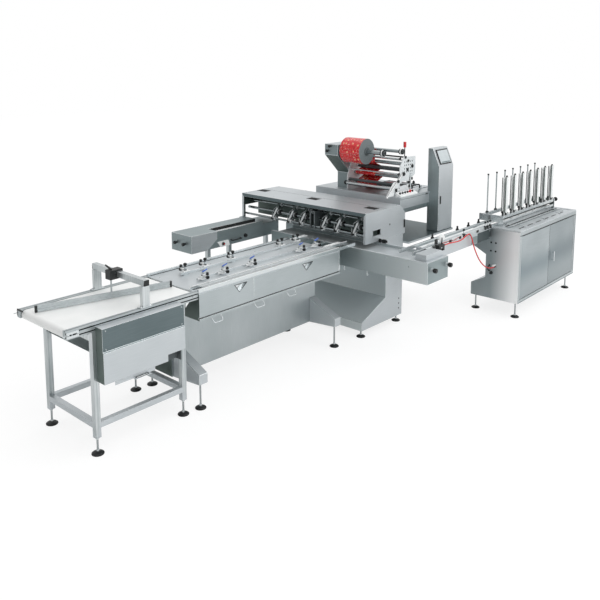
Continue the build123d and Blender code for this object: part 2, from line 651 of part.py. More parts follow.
def feeder():
    """Lane feeder: spine with an open bay, housing with recessed handles, deck, rails and outriggers."""
    spine = block(spine_x, (SPINE_NEAR, FEEDER_FAR), (SPINE_BOTTOM, FEEDER_BOTTOM))
    depth, side, foot = SPINE_BAY
    bay_z = (SPINE_BOTTOM + foot, FEEDER_BOTTOM - side)
    spine -= block((spine_x[0], spine_x[0] + depth), (SPINE_NEAR + side, FEEDER_FAR - side), bay_z)
    flange_y = (SPINE_NEAR - SPINE_FLANGE[0], SPINE_NEAR)
    spine += block((FEEDER_START, spine_x[1]), flange_y, (FEEDER_BOTTOM - SPINE_FLANGE[1], FEEDER_BOTTOM))
    arms = []
    feet = []
    for x in spine_foot_places():
        feet.append(levelling_foot(x, FEEDER_FAR - FOOT_INSET, SPINE_BOTTOM))
        arm, foot = outrigger(x)
        arms.append(arm)
        feet.append(foot)

    feeder_x = (FEEDER_START, feeder_end)
    housing = block(feeder_x, (FEEDER_NEAR, FEEDER_FAR), (FEEDER_BOTTOM, FEEDER_SIDE_TOP))
    for face_y, inward in ((FEEDER_NEAR, 1), (FEEDER_FAR, -1)):
        groove_top = FEEDER_BOTTOM + FEEDER_SKIRT
        groove_y = sorted((face_y, face_y + inward * FEEDER_GROOVE))
        housing -= block(feeder_x, groove_y, (groove_top - FEEDER_GROOVE, groove_top))
        seam_x = around(FEEDER_START + PANEL_SEAM_PLACE, PANEL_SEAM)
        seam_y = sorted((face_y, face_y + inward * PANEL_SEAM))
        housing -= block(seam_x, seam_y, (groove_top, FEEDER_SIDE_TOP))
        for place in HANDLE_PLACES:
            housing -= recessed_handle(FEEDER_START + place, face_y, inward)

    deck_y = (FEEDER_NEAR + DECK_INSET, FEEDER_FAR - DECK_INSET)
    deck = block(feeder_x, deck_y, (FEEDER_SIDE_TOP, deck_top))
    lane_y = deck_y[0] + LANE_RAIL_INSET
    rail_top = deck_top + NEAR_RAIL[1]
    seat = TROUGH_TOP + FIT
    outline = [
        (FEEDER_START, deck_top), (feeder_end + FIT, deck_top), (feeder_end + FIT, seat),
        (feeder_end + RAIL_OVERRUN, seat), (feeder_end + RAIL_OVERRUN, rail_top), (FEEDER_START, rail_top),
    ]
    rails = [
        prism_xz(outline, (deck_y[0], deck_y[0] + NEAR_RAIL[0])),
        prism_xz(outline, (lane_y, lane_y + LANE_RAIL[0])),
        block(feeder_x, (deck_y[1] - LANE_RAIL[0], deck_y[1]), (deck_top, deck_top + LANE_RAIL[1])),
    ]
    strip_x = (FEEDER_START + CLEAR_STRIP_MARGINS[0], feeder_end - CLEAR_STRIP_MARGINS[1])
    strip_y = (deck_y[0] + PANEL_SEAM, lane_y + LANE_RAIL[0] - PANEL_SEAM)
    strip = block(strip_x, strip_y, (rail_top, rail_top + CLEAR_STRIP_THICKNESS))
    return {
        "feeder_base": [spine],
        "feeder_housing": [housing],
        "feeder_deck": [deck],
        "feeder_rails": rails,
        "clear_strip": [strip],
        "feeder_outriggers": arms,
        "levelling_feet": feet,
    }


def spine_foot_places():
    """The two places along the feeder where its feet stand."""
    return (spine_x[0] + OUTRIGGER_WIDTH / 2 + PAD_HEIGHT / 2, spine_x[1] - OUTRIGGER_WIDTH / 2)


def outrigger(x):
    """One folded arm that reaches to the near side from the spine, with its levelling foot."""
    nose = SPINE_NEAR - FIT - OUTRIGGER_REACH
    outline = [
        (SPINE_NEAR - FIT, SPINE_BOTTOM),
        (nose, SPINE_BOTTOM + OUTRIGGER_NOSE_RISE),
        (nose, SPINE_BOTTOM + OUTRIGGER_NOSE_RISE + OUTRIGGER_NOSE),
        (SPINE_NEAR - FIT, SPINE_BOTTOM + OUTRIGGER_ROOT),
    ]
    arm = prism_yz(outline, around(x, OUTRIGGER_WIDTH))
    slope = OUTRIGGER_NOSE_RISE / OUTRIGGER_REACH
    seat = SPINE_BOTTOM + OUTRIGGER_NOSE_RISE - slope * (FOOT_INSET + FOOT_NUT / 2)
    return arm, levelling_foot(x, nose + FOOT_INSET, seat)


def recessed_handle(middle, face_y, inward):
    """The tool for one triangular finger recess, sunk into a side panel."""
    top = FEEDER_SIDE_TOP - HANDLE_MARGIN
    points = [
        (middle - HANDLE_WIDTH / 2, face_y, top),
        (middle + HANDLE_WIDTH / 2, face_y, top),
        (middle - HANDLE_SKEW, face_y, top - HANDLE_HEIGHT),
    ]
    face = Face(Wire.make_polygon(points, close=True))
    return extrude(face, amount=HANDLE_DEPTH, dir=(0, inward, 0))


def lane_guides():
    """Two guide bars along the lane, each with its row of clamping stations."""
    start = FEEDER_START + GUIDE_MARGINS[0]
    end = feeder_end + GUIDE_MARGINS[1]
    bottom = deck_top + GUIDE_LIFT
    guides = []
    knobs = []
    levers = []
    for y, outward in zip(GUIDE_Y, (-1, 1)):
        guide = block((start, end), around(y, GUIDE_BAR[0]), (bottom, bottom + GUIDE_BAR[1]))
        post_y = y + outward * (GUIDE_BAR[0] + STATION_POST) / 2
        post_top = deck_top + STATION_HEIGHT
        arm_z = deck_top + STATION_HEIGHT / 2
        arm_start = post_y + outward * STATION_POST / 2
        arm_end = arm_start + outward * STATION_ARM[1]
        foot_start = y - outward * GUIDE_BAR[0] / 2
        foot_y = sorted((foot_start, foot_start + outward * STATION_FOOT[1]))
        for place in STATION_PLACES:
            x = FEEDER_START + place
            guide += block(around(x, STATION_FOOT[0]), foot_y, (deck_top, deck_top + STATION_FOOT[2]))
            guide += block(around(x, STATION_POST), around(post_y, STATION_POST), (deck_top, post_top))
            guide += bar((x, arm_start, arm_z), (x, arm_end, arm_z), STATION_ARM[0], HEX_SIDES)
            knobs.append(knob((x, arm_end, arm_z), (0, outward, 0)))
            if outward > 0:
                knobs.append(knob((x, post_y, post_top), (0, 0, 1)))
            else:
                levers.append(guide_lever(x, post_y, post_top))
        guides.append(guide)
    return {"lane_guides": guides, "clamping_knobs": knobs, "guide_levers": levers}


def guide_lever(x, y, z):
    """A cam lever that lies over the top of a near station's post."""
    length, width, rise = STATION_LEVER
    outline = [
        (x - width / 2, z), (x + width / 2, z), (x + length, z + width), (x + length, z + width + rise),
        (x - width / 2, z + rise),
    ]
    return prism_xz(outline, around(y, width))


def cross_base():
    """Floor-standing base with a sloping shelf, and the trough of the cross conveyor on its saddle."""
    saddle_top = TROUGH_BOTTOM - FIT
    saddle_front = base_front + SADDLE_SETBACK
    shelf_back = base_front + SHELF_LENGTH
    column_front = shelf_back + COLUMN_BEND[0]
    outline = [
        (base_front, BASE_BOTTOM), (base_front, BASE_TOE_TOP), (shelf_back, SHELF_TOP),
        (column_front, SHELF_TOP + COLUMN_BEND[1]), (column_front, saddle_top - SADDLE_HEIGHT),
        (saddle_front, saddle_top - SADDLE_HEIGHT), (saddle_front, saddle_top),
        (trough_back + FIT, saddle_top), (trough_back + FIT, DECK_LEVEL), (base_back, DECK_LEVEL),
        (base_back, BASE_BOTTOM),
    ]
    body = prism_xz(outline, (BASE_NEAR, BASE_FAR))
    feet = []
    for x in (base_front + FOOT_INSET, base_back - FOOT_INSET):
        for y in (BASE_NEAR + FOOT_INSET, BASE_FAR - FOOT_INSET):
            feet.append(levelling_foot(x, y, BASE_BOTTOM))

    trough = block((trough_front, trough_back), (TROUGH_NEAR, TROUGH_FAR), (TROUGH_BOTTOM, TROUGH_TOP))
    trough -= block(
        (trough_front + TROUGH_WALL, trough_back - TROUGH_WALL),
        (TROUGH_NEAR + TROUGH_CLOSED_END, TROUGH_FAR),
        (TROUGH_TOP - TROUGH_CHANNEL, TROUGH_TOP),
    )
    for y in HOOK_PLACES:
        hook_x = (trough_front + SHEET, trough_front + SHEET + HOOK[0])
        trough += block(hook_x, around(y, HOOK[1]), (TROUGH_BOTTOM - HOOK[2], TROUGH_BOTTOM))
        trough += block(
            (hook_x[0], hook_x[1] + 2 * HOOK[0]), around(y, HOOK[1]),
            (TROUGH_BOTTOM - HOOK[2], TROUGH_BOTTOM - HOOK[2] + HOOK[1]),
        )
    inset, drop = END_KNOB_PLACE
    knobs = [
        knob((x, TROUGH_NEAR, TROUGH_TOP - drop), (0, -1, 0), *END_KNOB)
        for x in (trough_front + inset, trough_back - TROUGH_WALL)
    ]
    low, high = END_GUARD_HEIGHTS
    lid_x = (trough_front + END_GUARD_MARGINS[0], trough_back - END_GUARD_MARGINS[1])
    guard_outline = [
        (lid_x[0], TROUGH_TOP), (lid_x[1], TROUGH_TOP), (lid_x[1], TROUGH_TOP + low),
        (lid_x[1] - high + low, TROUGH_TOP + high), (lid_x[0], TROUGH_TOP + high),
    ]
    guard = prism_xz(guard_outline, (TROUGH_NEAR + END_GUARD_Y[0], TROUGH_NEAR + END_GUARD_Y[1]))
    return {
        "base_body": [body],
        "cross_trough": [trough],
        "clamping_knobs": knobs,
        "levelling_feet": feet,
        "trough_end_guard": [guard],
    }


def cross_housing():
    """Cover over the cross conveyor, open to the feeder, and the transfer gear inside it."""
    front, back, wall = housing_front, housing_back, WALL
    bend = HOUSING_CHAMFER + wall * tan(pi / 8)
    outline = [
        (front, HOUSING_TOP), (back - HOUSING_CHAMFER, HOUSING_TOP), (back, HOUSING_TOP - HOUSING_CHAMFER),
        (back, DECK_LEVEL), (front, DECK_LEVEL),
    ]
    hollow = [
        (front, HOUSING_TOP - wall), (back - bend, HOUSING_TOP - wall), (back - wall, HOUSING_TOP - bend),
        (back - wall, DECK_LEVEL), (front, DECK_LEVEL),
    ]
    cover = prism_xz(outline, (HOUSING_NEAR, HOUSING_FAR))
    cover -= prism_xz(hollow, (HOUSING_NEAR + wall, HOUSING_FAR - wall))
    lip_z = HOUSING_TOP - HOUSING_LIP
    cover += block((front, front + SHEET), (HOUSING_NEAR, HOUSING_FAR), (lip_z, HOUSING_TOP))
    for y in ((HOUSING_NEAR, HOUSING_NEAR + HOUSING_FLANGE), (HOUSING_FAR - HOUSING_FLANGE, HOUSING_FAR)):
        cover += block((front, front + SHEET), y, (DECK_LEVEL, lip_z))
    cover -= block(
        (front + HOUSING_LEG, back - HOUSING_LEG), (HOUSING_FAR - wall, HOUSING_FAR),
        (DECK_LEVEL, HOUSING_TOP - HOUSING_APRON),
    )
    window_x = (front + WINDOW_PLACE[0], front + WINDOW_PLACE[0] + WINDOW_SIZE[0])
    window_z = (WINDOW_PLACE[1], WINDOW_PLACE[1] + WINDOW_SIZE[1])
    cover -= block(window_x, (HOUSING_NEAR, HOUSING_NEAR + wall), window_z)
    seam_x, seam_width, seam_depth = HOUSING_SEAM
    seam = around(front + seam_x, seam_width)
    cover -= block(seam, (HOUSING_NEAR, HOUSING_FAR), (HOUSING_TOP - seam_depth, HOUSING_TOP))
    length, width, depth = RECESS_SIZE
    recess = chamfer(Box(width, length, 2 * depth).edges().filter_by(Axis.Z), width * RECESS_CORNER)
    for y in RECESS_Y:
        cover -= Pos(front + RECESS_SETBACK, y, HOUSING_TOP) * recess

    bars = []
    for setback, z, diameter in zip(BAR_SETBACKS, BAR_HEIGHTS, BAR_DIAMETERS):
        x = front + setback
        bars.append(bar((x, HOUSING_NEAR + wall, z), (x, HOUSING_FAR - wall, z), diameter, MEDIUM_SIDES))
    blocks = [v_block(y) for y in CLAMP_STATIONS]
    return {
        "cross_housing": [cover],
        "transfer_bars": bars,
        "transfer_clamps": blocks,
        "transfer_carriage": [carriage()],
    }


def v_block(y):
    """A clamp that holds the three transfer bars in square notches set on their corners."""
    width, margin = V_BLOCK
    x = (housing_front + BAR_SETBACKS[0] - margin, housing_front + BAR_SETBACKS[2] + margin)
    outline = [
        (x[0], BAR_HEIGHTS[0] - margin), (x[0] + margin * 2, BAR_HEIGHTS[0] - margin),
        (x[1], BAR_HEIGHTS[2] - margin), (x[1], BAR_HEIGHTS[2] + margin),
        (x[1] - margin * 2, BAR_HEIGHTS[2] + margin), (x[0], BAR_HEIGHTS[0] + margin),
    ]
    clamp = prism_xz(outline, (y, y + width))
    return clamp - bar_notches((y, y + width))


def bar_notches(y):
    """The square notches for the three transfer bars, as one tool along Y."""
    notches = []
    for setback, z, diameter in zip(BAR_SETBACKS, BAR_HEIGHTS, BAR_DIAMETERS):
        reach = (diameter / 2 + FIT) * 2**0.5
        x = housing_front + setback
        notches.append(prism_xz([(x - reach, z), (x, z - reach), (x + reach, z), (x, z + reach)], y))
    return notches


def carriage():
    """The carriage on the transfer bars: two side plates joined by a cross block, with a pushing paddle."""
    width, margin = V_BLOCK
    x = (housing_front + BAR_SETBACKS[0] - margin, housing_front + BAR_SETBACKS[2] + 2 * margin)
    y = CARRIAGE_Y
    z = (BAR_HEIGHTS[0] - margin, BAR_HEIGHTS[2] + margin)
    body = block(x, y, z)
    body -= block(x, (y[0] + WALL * 2, y[1] - WALL * 2), (z[0], z[1] - margin))
    paddle_x = (x[1], x[1] + margin)
    body += block(paddle_x, y, (z[0] - CARRIAGE_DROP, z[1]))
    return body - bar_notches(y)


def side_conveyor():
    """Box-section conveyor that meets the far end of the cross conveyor, on its own legs."""
    outline = [
        (side_start, SIDE_BOTTOM), (side_end, SIDE_BOTTOM), (side_end, SIDE_LANE_TOP),
        (side_drive_end, SIDE_LANE_TOP), (side_drive_end, SIDE_TOP), (side_start, SIDE_TOP),
    ]
    body = prism_xz(outline, (SIDE_NEAR, SIDE_FAR))
    proud, cut, rise = SIDE_COVER
    cover_outline = [
        (side_start, SIDE_BOTTOM), (side_drive_end - cut, SIDE_BOTTOM), (side_drive_end, SIDE_BOTTOM + rise),
        (side_drive_end, SIDE_TOP), (side_start, SIDE_TOP),
    ]
    body += prism_xz(cover_outline, (SIDE_NEAR - proud, SIDE_NEAR))
    lane_far = SIDE_NEAR + SIDE_LANE
    lane_z = (SIDE_LANE_TOP, SIDE_TOP)
    body += block((side_drive_end, housing_front - FIT), (lane_far, SIDE_FAR), lane_z)
    apron_x = (housing_front - HOUSING_LEG, housing_front - FIT)
    body += block(apron_x, (SIDE_FAR, HOUSING_FAR), lane_z)
    rail_x = (side_drive_end, housing_front - RUN)
    rail_z = (SIDE_LANE_TOP, SIDE_LANE_TOP + SIDE_RAIL[1])
    body += block(rail_x, (SIDE_NEAR, SIDE_NEAR + SIDE_RAIL[0]), rail_z)

    middle = (SIDE_NEAR + SIDE_FAR) / 2
    legs = []
    feet = []
    for place in SIDE_LEG_PLACES:
        x = side_start + place
        legs.append(block(around(x, SIDE_LEG), around(middle, SIDE_LEG), (TABLE_LEG_BOTTOM, SIDE_BOTTOM)))
        feet.append(levelling_foot(x, middle, TABLE_LEG_BOTTOM))
    width, lean, height, depth = SWITCH_PLATE
    plate_x = side_start + SWITCH_PLACE
    plate_top = SIDE_BOTTOM + height
    switch_outline = [
        (plate_x, plate_top), (plate_x + width, plate_top), (plate_x + width + lean / 2, SIDE_BOTTOM),
        (plate_x + lean, SIDE_BOTTOM),
    ]
    knob_z = (SIDE_BOTTOM + SIDE_TOP) / 2
    knobs = [
        knob((side_start, y, knob_z), (-1, 0, 0), *SIDE_KNOB)
        for y in (SIDE_NEAR + 2 * SIDE_LEG, SIDE_FAR - 2 * SIDE_LEG)
    ]
    return {
        "side_conveyor": [body],
        "side_conveyor_legs": legs,
        "side_switch_plate": [prism_xz(switch_outline, (SIDE_NEAR - depth, SIDE_NEAR))],
        "clamping_knobs": knobs,
        "levelling_feet": feet,
    }


def wrapper():
    """Flow wrapper: rear cabinet, bed, upper body over the sealing space, and the control column."""
    start, end = wrapper_start, wrapper_end
    bed = block((start, end), (BED_NEAR, CABINET_NEAR - FIT), (BED_TOP - BED_THICKNESS, BED_TOP))
    outline = [
        (start, BASE_BOTTOM), (start, DECK_LEVEL - FIT), (body_front, DECK_LEVEL - FIT),
        (body_front, BODY_BOTTOM - FIT), (end, BODY_BOTTOM - FIT), (end, BASE_BOTTOM),
    ]
    cabinet = prism_xz(outline, (CABINET_NEAR, CABINET_FAR))
    feet = []
    for x in (start + PAD_DIAMETER, end - PAD_DIAMETER):
        for y in (CABINET_NEAR + PAD_DIAMETER, CABINET_FAR - PAD_DIAMETER):
            feet.append(levelling_foot(x, y, BASE_BOTTOM))

    band, relief = BODY_BAND
    fold, inward = BODY_SLOPE
    section = [
        (BODY_NEAR, BODY_TOP), (BODY_NEAR, BODY_TOP - band), (BODY_NEAR + relief, BODY_TOP - band - relief),
        (BODY_NEAR + relief, BODY_BOTTOM + fold), (BODY_NEAR + inward, BODY_BOTTOM),
        (CABINET_FAR, BODY_BOTTOM), (CABINET_FAR, BODY_TOP),
    ]
    body = prism_yz(section, (body_front, end))
    body -= block((column_start - FIT, end), (BODY_NEAR, COLUMN_FAR + FIT), (BODY_BOTTOM, BODY_TOP))
    body += top_rails()

    profile = [
        (COLUMN_FAR, BED_TOP), (COLUMN_NEAR, BED_TOP), (COLUMN_NEAR, SCREEN_FOOT),
        (COLUMN_FAR - COLUMN_TOP_DEPTH, COLUMN_TOP), (COLUMN_FAR, COLUMN_TOP),
    ]
    column = prism_yz(profile, (column_start, end))
    low = Vector(column_start, COLUMN_NEAR, SCREEN_FOOT)
    high = Vector(column_start, COLUMN_FAR - COLUMN_TOP_DEPTH, COLUMN_TOP)
    slope = high - low
    middle = low + slope * 0.5 + Vector(COLUMN_WIDTH / 2, 0, 0)
    place = Plane(origin=middle, x_dir=(1, 0, 0), z_dir=(0, -slope.Z, slope.Y))
    screen_size = (COLUMN_WIDTH - 2 * SCREEN_MARGIN, slope.length - 2 * SCREEN_END_MARGIN)
    return {
        "wrapper_bed": [bed],
        "wrapper_cabinet": [cabinet],
        "levelling_feet": feet,
        "wrapper_body": [body],
        "control_column": [column],
        "control_screen": [place * extrude(Rectangle(*screen_size), SCREEN_THICKNESS)],
    }


def at_unwind(place):
    """A point of the film unwind, from its setback and height to layout X and Z."""
    return (body_front - FIT + place[0], BODY_TOP + place[1])


def film_unwind():
    """Film bracket with two shafts, the film roll, the side plates and the rollers between them."""
    post = at_unwind((POST_SETBACK[0], 0)), at_unwind((POST_SETBACK[1], 0))
    head = at_unwind((HEAD_SETBACK[0], HEAD_HEIGHTS[0])), at_unwind((HEAD_SETBACK[1], HEAD_HEIGHTS[1]))
    outline = [
        post[0], (post[0][0], BODY_TOP + POST_HEIGHT), head[0], (head[0][0], head[1][1]), head[1],
        (post[1][0], head[0][1]), post[1],
    ]
    bracket = prism_xz(outline, (UNWIND_NEAR, UNWIND_NEAR + UNWIND_DEPTH))
    bearing = (UNWIND_NEAR, UNWIND_NEAR + BEARING_DEPTH)
    shafts = {}
    for name, place, diameter, near in (
        ("film_mandrel", ROLL_PLACE, MANDREL_DIAMETER, MANDREL_NEAR),
        ("splice_shaft", SPLICE_PLACE, SPLICE_DIAMETER, SPLICE_NEAR),
    ):
        x, z = at_unwind(place)
        bracket -= bar((x, bearing[0], z), (x, bearing[1], z), diameter + 2 * PIN_FIT)
        gap, length, step = SHAFT_COLLAR
        shaft = bar((x, near, z), (x, bearing[1] - FIT, z), diameter)
        collar = bar((x, near + gap, z), (x, near + gap + length, z), diameter + 2 * step, MEDIUM_SIDES)
        shafts[name] = [shaft + collar]

    roll_x, roll_z = at_unwind(ROLL_PLACE)
    roll_y = (ROLL_NEAR, ROLL_NEAR + ROLL_WIDTH)
    roll = bar((roll_x, roll_y[0], roll_z), (roll_x, roll_y[1], roll_z), ROLL_DIAMETER)
    roll -= bar((roll_x, roll_y[0], roll_z), (roll_x, roll_y[1], roll_z), MANDREL_DIAMETER + 2 * FIT)

    far_y = (UNWIND_NEAR - FIT - PLATE_THICKNESS, UNWIND_NEAR - FIT)
    near_y = (PLATE_NEAR, PLATE_NEAR + PLATE_THICKNESS)
    near_plate = prism_xz([at_unwind(point) for point in NEAR_PLATE], near_y)
    near_plate -= prism_xz([at_unwind(point) for point in PLATE_WINDOW], near_y)
    plates = [prism_xz([at_unwind(point) for point in FAR_PLATE], far_y), near_plate]
    rollers = []
    for setback, height, diameter in (IDLE_ROLLER, *(roller[:3] for roller in FILM_ROLLERS)):
        x, z = at_unwind((setback, height))
        rollers.append(bar((x, near_y[1], z), (x, far_y[0], z), diameter, FINE_SIDES))

    lever_y = (PLATE_NEAR - LEVER_THICKNESS, PLATE_NEAR)
    lever = prism_xz([at_unwind(point) for point in LEVER_OUTLINE], lever_y)
    lamp_x, lamp_z = at_unwind((LAMP_PLACE, NEAR_PLATE[5][1] - SHEET))
    lamp_y = sum(near_y) / 2
    cap_z = lamp_z + LAMP_STEM[1]
    cap_top = cap_z + LAMP_CAP[1]
    plates[1] += bar((lamp_x, lamp_y, lamp_z), (lamp_x, lamp_y, cap_z), LAMP_STEM[0], COARSE_SIDES)
    plates[1] += bar((lamp_x, lamp_y, cap_z), (lamp_x, lamp_y, cap_top), LAMP_CAP[0], MEDIUM_SIDES)
    nodes = {
        "film_bracket": [bracket],
        "film_roll": [roll],
        "film_web": [film_web(roll_y)],
        "unwind_plates": plates,
        "film_rollers": rollers,
        "release_lever": [lever],
    }
    nodes.update(shafts)
    return nodes


def film_web(y):
    """The film from the roll over the guide rollers down to the wrapper's top, as one thin sheet."""
    middle = FILM_THICKNESS / 2 + FIT
    roll_x, roll_z = at_unwind(ROLL_PLACE)
    stops = [(roll_x, roll_z, ROLL_DIAMETER / 2 + RUN + middle, -1)]
    for setback, height, diameter, side in FILM_ROLLERS:
        x, z = at_unwind((setback, height))
        stops.append((x, z, diameter / 2 + middle, side))
    tangents = [tangent(first, second) for first, second in zip(stops, stops[1:])]
    last_x, last_z, last_radius, last_side = stops[-1]
    leave = (last_x - last_side * last_radius, last_z)
    landing = (leave[0], BODY_TOP + FIT)
    path = []
    for index, (start, end) in enumerate(tangents):
        path.append(Line((start[0], 0, start[1]), (end[0], 0, end[1])))
        after = tangents[index + 1][0] if index + 1 < len(tangents) else leave
        path.append(wrap(stops[index + 1], end, after))
    path.append(Line((leave[0], 0, leave[1]), (landing[0], 0, landing[1])))
    middle_line = Wire(path)
    edge = Plane(origin=middle_line @ 0, z_dir=middle_line % 0, x_dir=(0, 1, 0))
    section = edge * Rectangle(y[1] - y[0], FILM_THICKNESS)
    return Pos(0, sum(y) / 2, 0) * sweep(section, path=middle_line)


def tangent(first, second):
    """The film's straight run between two rollers, each with the side on which its axis lies."""
    dx, dz = second[0] - first[0], second[1] - first[1]
    turn = asin((second[3] * second[2] - first[3] * first[2]) / hypot(dx, dz))
    heading = atan2(dz, dx) - turn
    normal = (-sin(heading), cos(heading))
    return tuple(
        (x - side * radius * normal[0], z - side * radius * normal[1])
        for x, z, radius, side in (first, second)
    )


def wrap(roller, arrive, leave):
    """The film's arc round a roller, from where it arrives to where it leaves."""
    x, z, radius, side = roller
    start = atan2(arrive[1] - z, arrive[0] - x)
    end = atan2(leave[1] - z, leave[0] - x)
    sweep_angle = side * ((side * (end - start)) % (2 * pi))
    middle = start + sweep_angle / 2
    top = (x + radius * cos(middle), 0, z + radius * sin(middle))
    return ThreePointArc((arrive[0], 0, arrive[1]), top, (leave[0], 0, leave[1]))


def button_console():
    """The sloping button console on the wrapper's near edge."""
    length, depth, height = CONSOLE
    far = CONSOLE_NEAR + depth
    x = (body_front + CONSOLE_PLACE, body_front + CONSOLE_PLACE + length)
    outline = [
        (CONSOLE_NEAR, BODY_TOP), (far, BODY_TOP), (far, BODY_TOP + height),
        (CONSOLE_NEAR, BODY_TOP + CONSOLE_FRONT),
    ]
    return {"button_console": [prism_yz(outline, x)]}


def top_rails():
    """Two guard rails on posts, on the wrapper's top between the console and the control column."""
    diameter, rise, gap = TOP_RAIL
    start = body_front + CONSOLE_PLACE + CONSOLE[0] + gap
    far = CONSOLE_NEAR + CONSOLE[1]
    z = BODY_TOP + rise
    rails = []
    for y in (far - CONSOLE[1] / 2, far + gap):
        rail = bar((start, y, z), (column_start + gap, y, z), diameter, COARSE_SIDES)
        for x in (start + diameter, column_start + gap - diameter):
            rail += block(around(x, diameter), around(y, diameter), (BODY_TOP, z))
        rails.append(rail)
    return rails


def tray_conveyor():
    """Channel conveyor from the trough to the dispenser, with rails, drive box, valves and air hose."""
    start = trough_back + FIT
    end = disp_left - FIT
    step = disp_left - TRAY_END_GAP
    width = TRAY_FAR - TRAY_NEAR
    inset = (width - DRIVE_BOX[1]) / 2
    channel = block((start, step), (TRAY_NEAR, TRAY_FAR), (TRAY_BOTTOM, rail_seat))
    bridge_y = (TRAY_NEAR + inset, TRAY_FAR - inset)
    bridge = block((step, end), bridge_y, (rail_seat - DRIVE_BOX[0], rail_seat))
    box_z = (rail_seat - DRIVE_BOX[0] - DRIVE_BOX[2], rail_seat - DRIVE_BOX[0])
    bridge += block((step + DRIVE_BOX[0], end - DRIVE_BOX[0]), bridge_y, box_z)
    rails = []
    rail_x = (trough_back - TRAY_RAIL_OVERRUN[0], disp_right - TRAY_RAIL_OVERRUN[1])
    for y in (TRAY_NEAR, TRAY_FAR - TRAY_RAIL[0]):
        rails.append(block(rail_x, (y, y + TRAY_RAIL[0]), (rail_seat, TRAY_TOP)))
    strip_z = (rail_seat, rail_seat + SLIDE_STRIP[1])
    for offset in SLIDE_STRIP_Y:
        y = TRAY_NEAR + offset
        rails.append(block((start, rail_x[1]), (y, y + SLIDE_STRIP[0]), strip_z))

    hose_start = trough_back + SENSOR_PLACE + FITTING_LENGTH + RUN
    points = [Vector(hose_start + x, HOSE_FITTING_Y - out, z) for x, out, z in HOSE_ROUTE]
    points.append(Vector(disp_left - FITTING_LENGTH, points[-1].Y, points[-1].Z))
    valve_x = (hose_start - FITTING_LENGTH - VALVE_SIZE[0], hose_start - FITTING_LENGTH)
    valve_bottom = points[0].Z - VALVE_DROP
    valve_z = (valve_bottom, valve_bottom + VALVE_SIZE[2])
    valve = block(valve_x, (TRAY_NEAR - VALVE_SIZE[1], TRAY_NEAR), valve_z)
    valve += bar((valve_x[1], points[0].Y, points[0].Z), tuple(points[0]), FITTING_DIAMETER, HEX_SIDES)
    sensor_x = (valve_x[0], valve_x[0] + SENSOR_SIZE[0])
    sensor_y = (TRAY_NEAR, TRAY_NEAR + SENSOR_SIZE[1])
    sensor = block(sensor_x, sensor_y, (TRAY_TOP, TRAY_TOP + SENSOR_SIZE[2]))
    clip_middle = (points[3] + points[4]) * 0.5
    clip_top = clip_middle.Z - HOSE_DIAMETER / 2 - FIT
    clip = block(
        around(clip_middle.X, CLIP_SIZE[0]), (TRAY_NEAR - CLIP_SIZE[1], TRAY_NEAR),
        (clip_top - CLIP_SIZE[2], clip_top),
    )
    socket = bar(tuple(points[-1]), (disp_left, points[-1].Y, points[-1].Z), FITTING_DIAMETER, HEX_SIDES)
    return {
        "tray_conveyor": [channel + bridge],
        "tray_rails": rails,
        "air_fittings": [valve, clip, socket, sensor],
        "air_hose": [air_hose(points)],
    }


def air_hose(points):
    """The hose along its route: straight runs joined by tangent arcs."""
    radii = []
    for before, corner, after in zip(points, points[1:], points[2:]):
        turn = radians((corner - before).get_angle(after - corner))
        shorter = min((corner - before).length, (after - corner).length)
        radii.append(HOSE_ARC_SHARE * shorter / tan(turn / 2))
    path = FilletPolyline(*points, radius=radii)
    print("hose radii", [round(radius) for radius in radii], "length", round(path.length))
    exit_plane = Plane(origin=points[0], z_dir=points[1] - points[0])
    return sweep(exit_plane * RegularPolygon(HOSE_DIAMETER / 2, HOSE_SIDES), path=path)


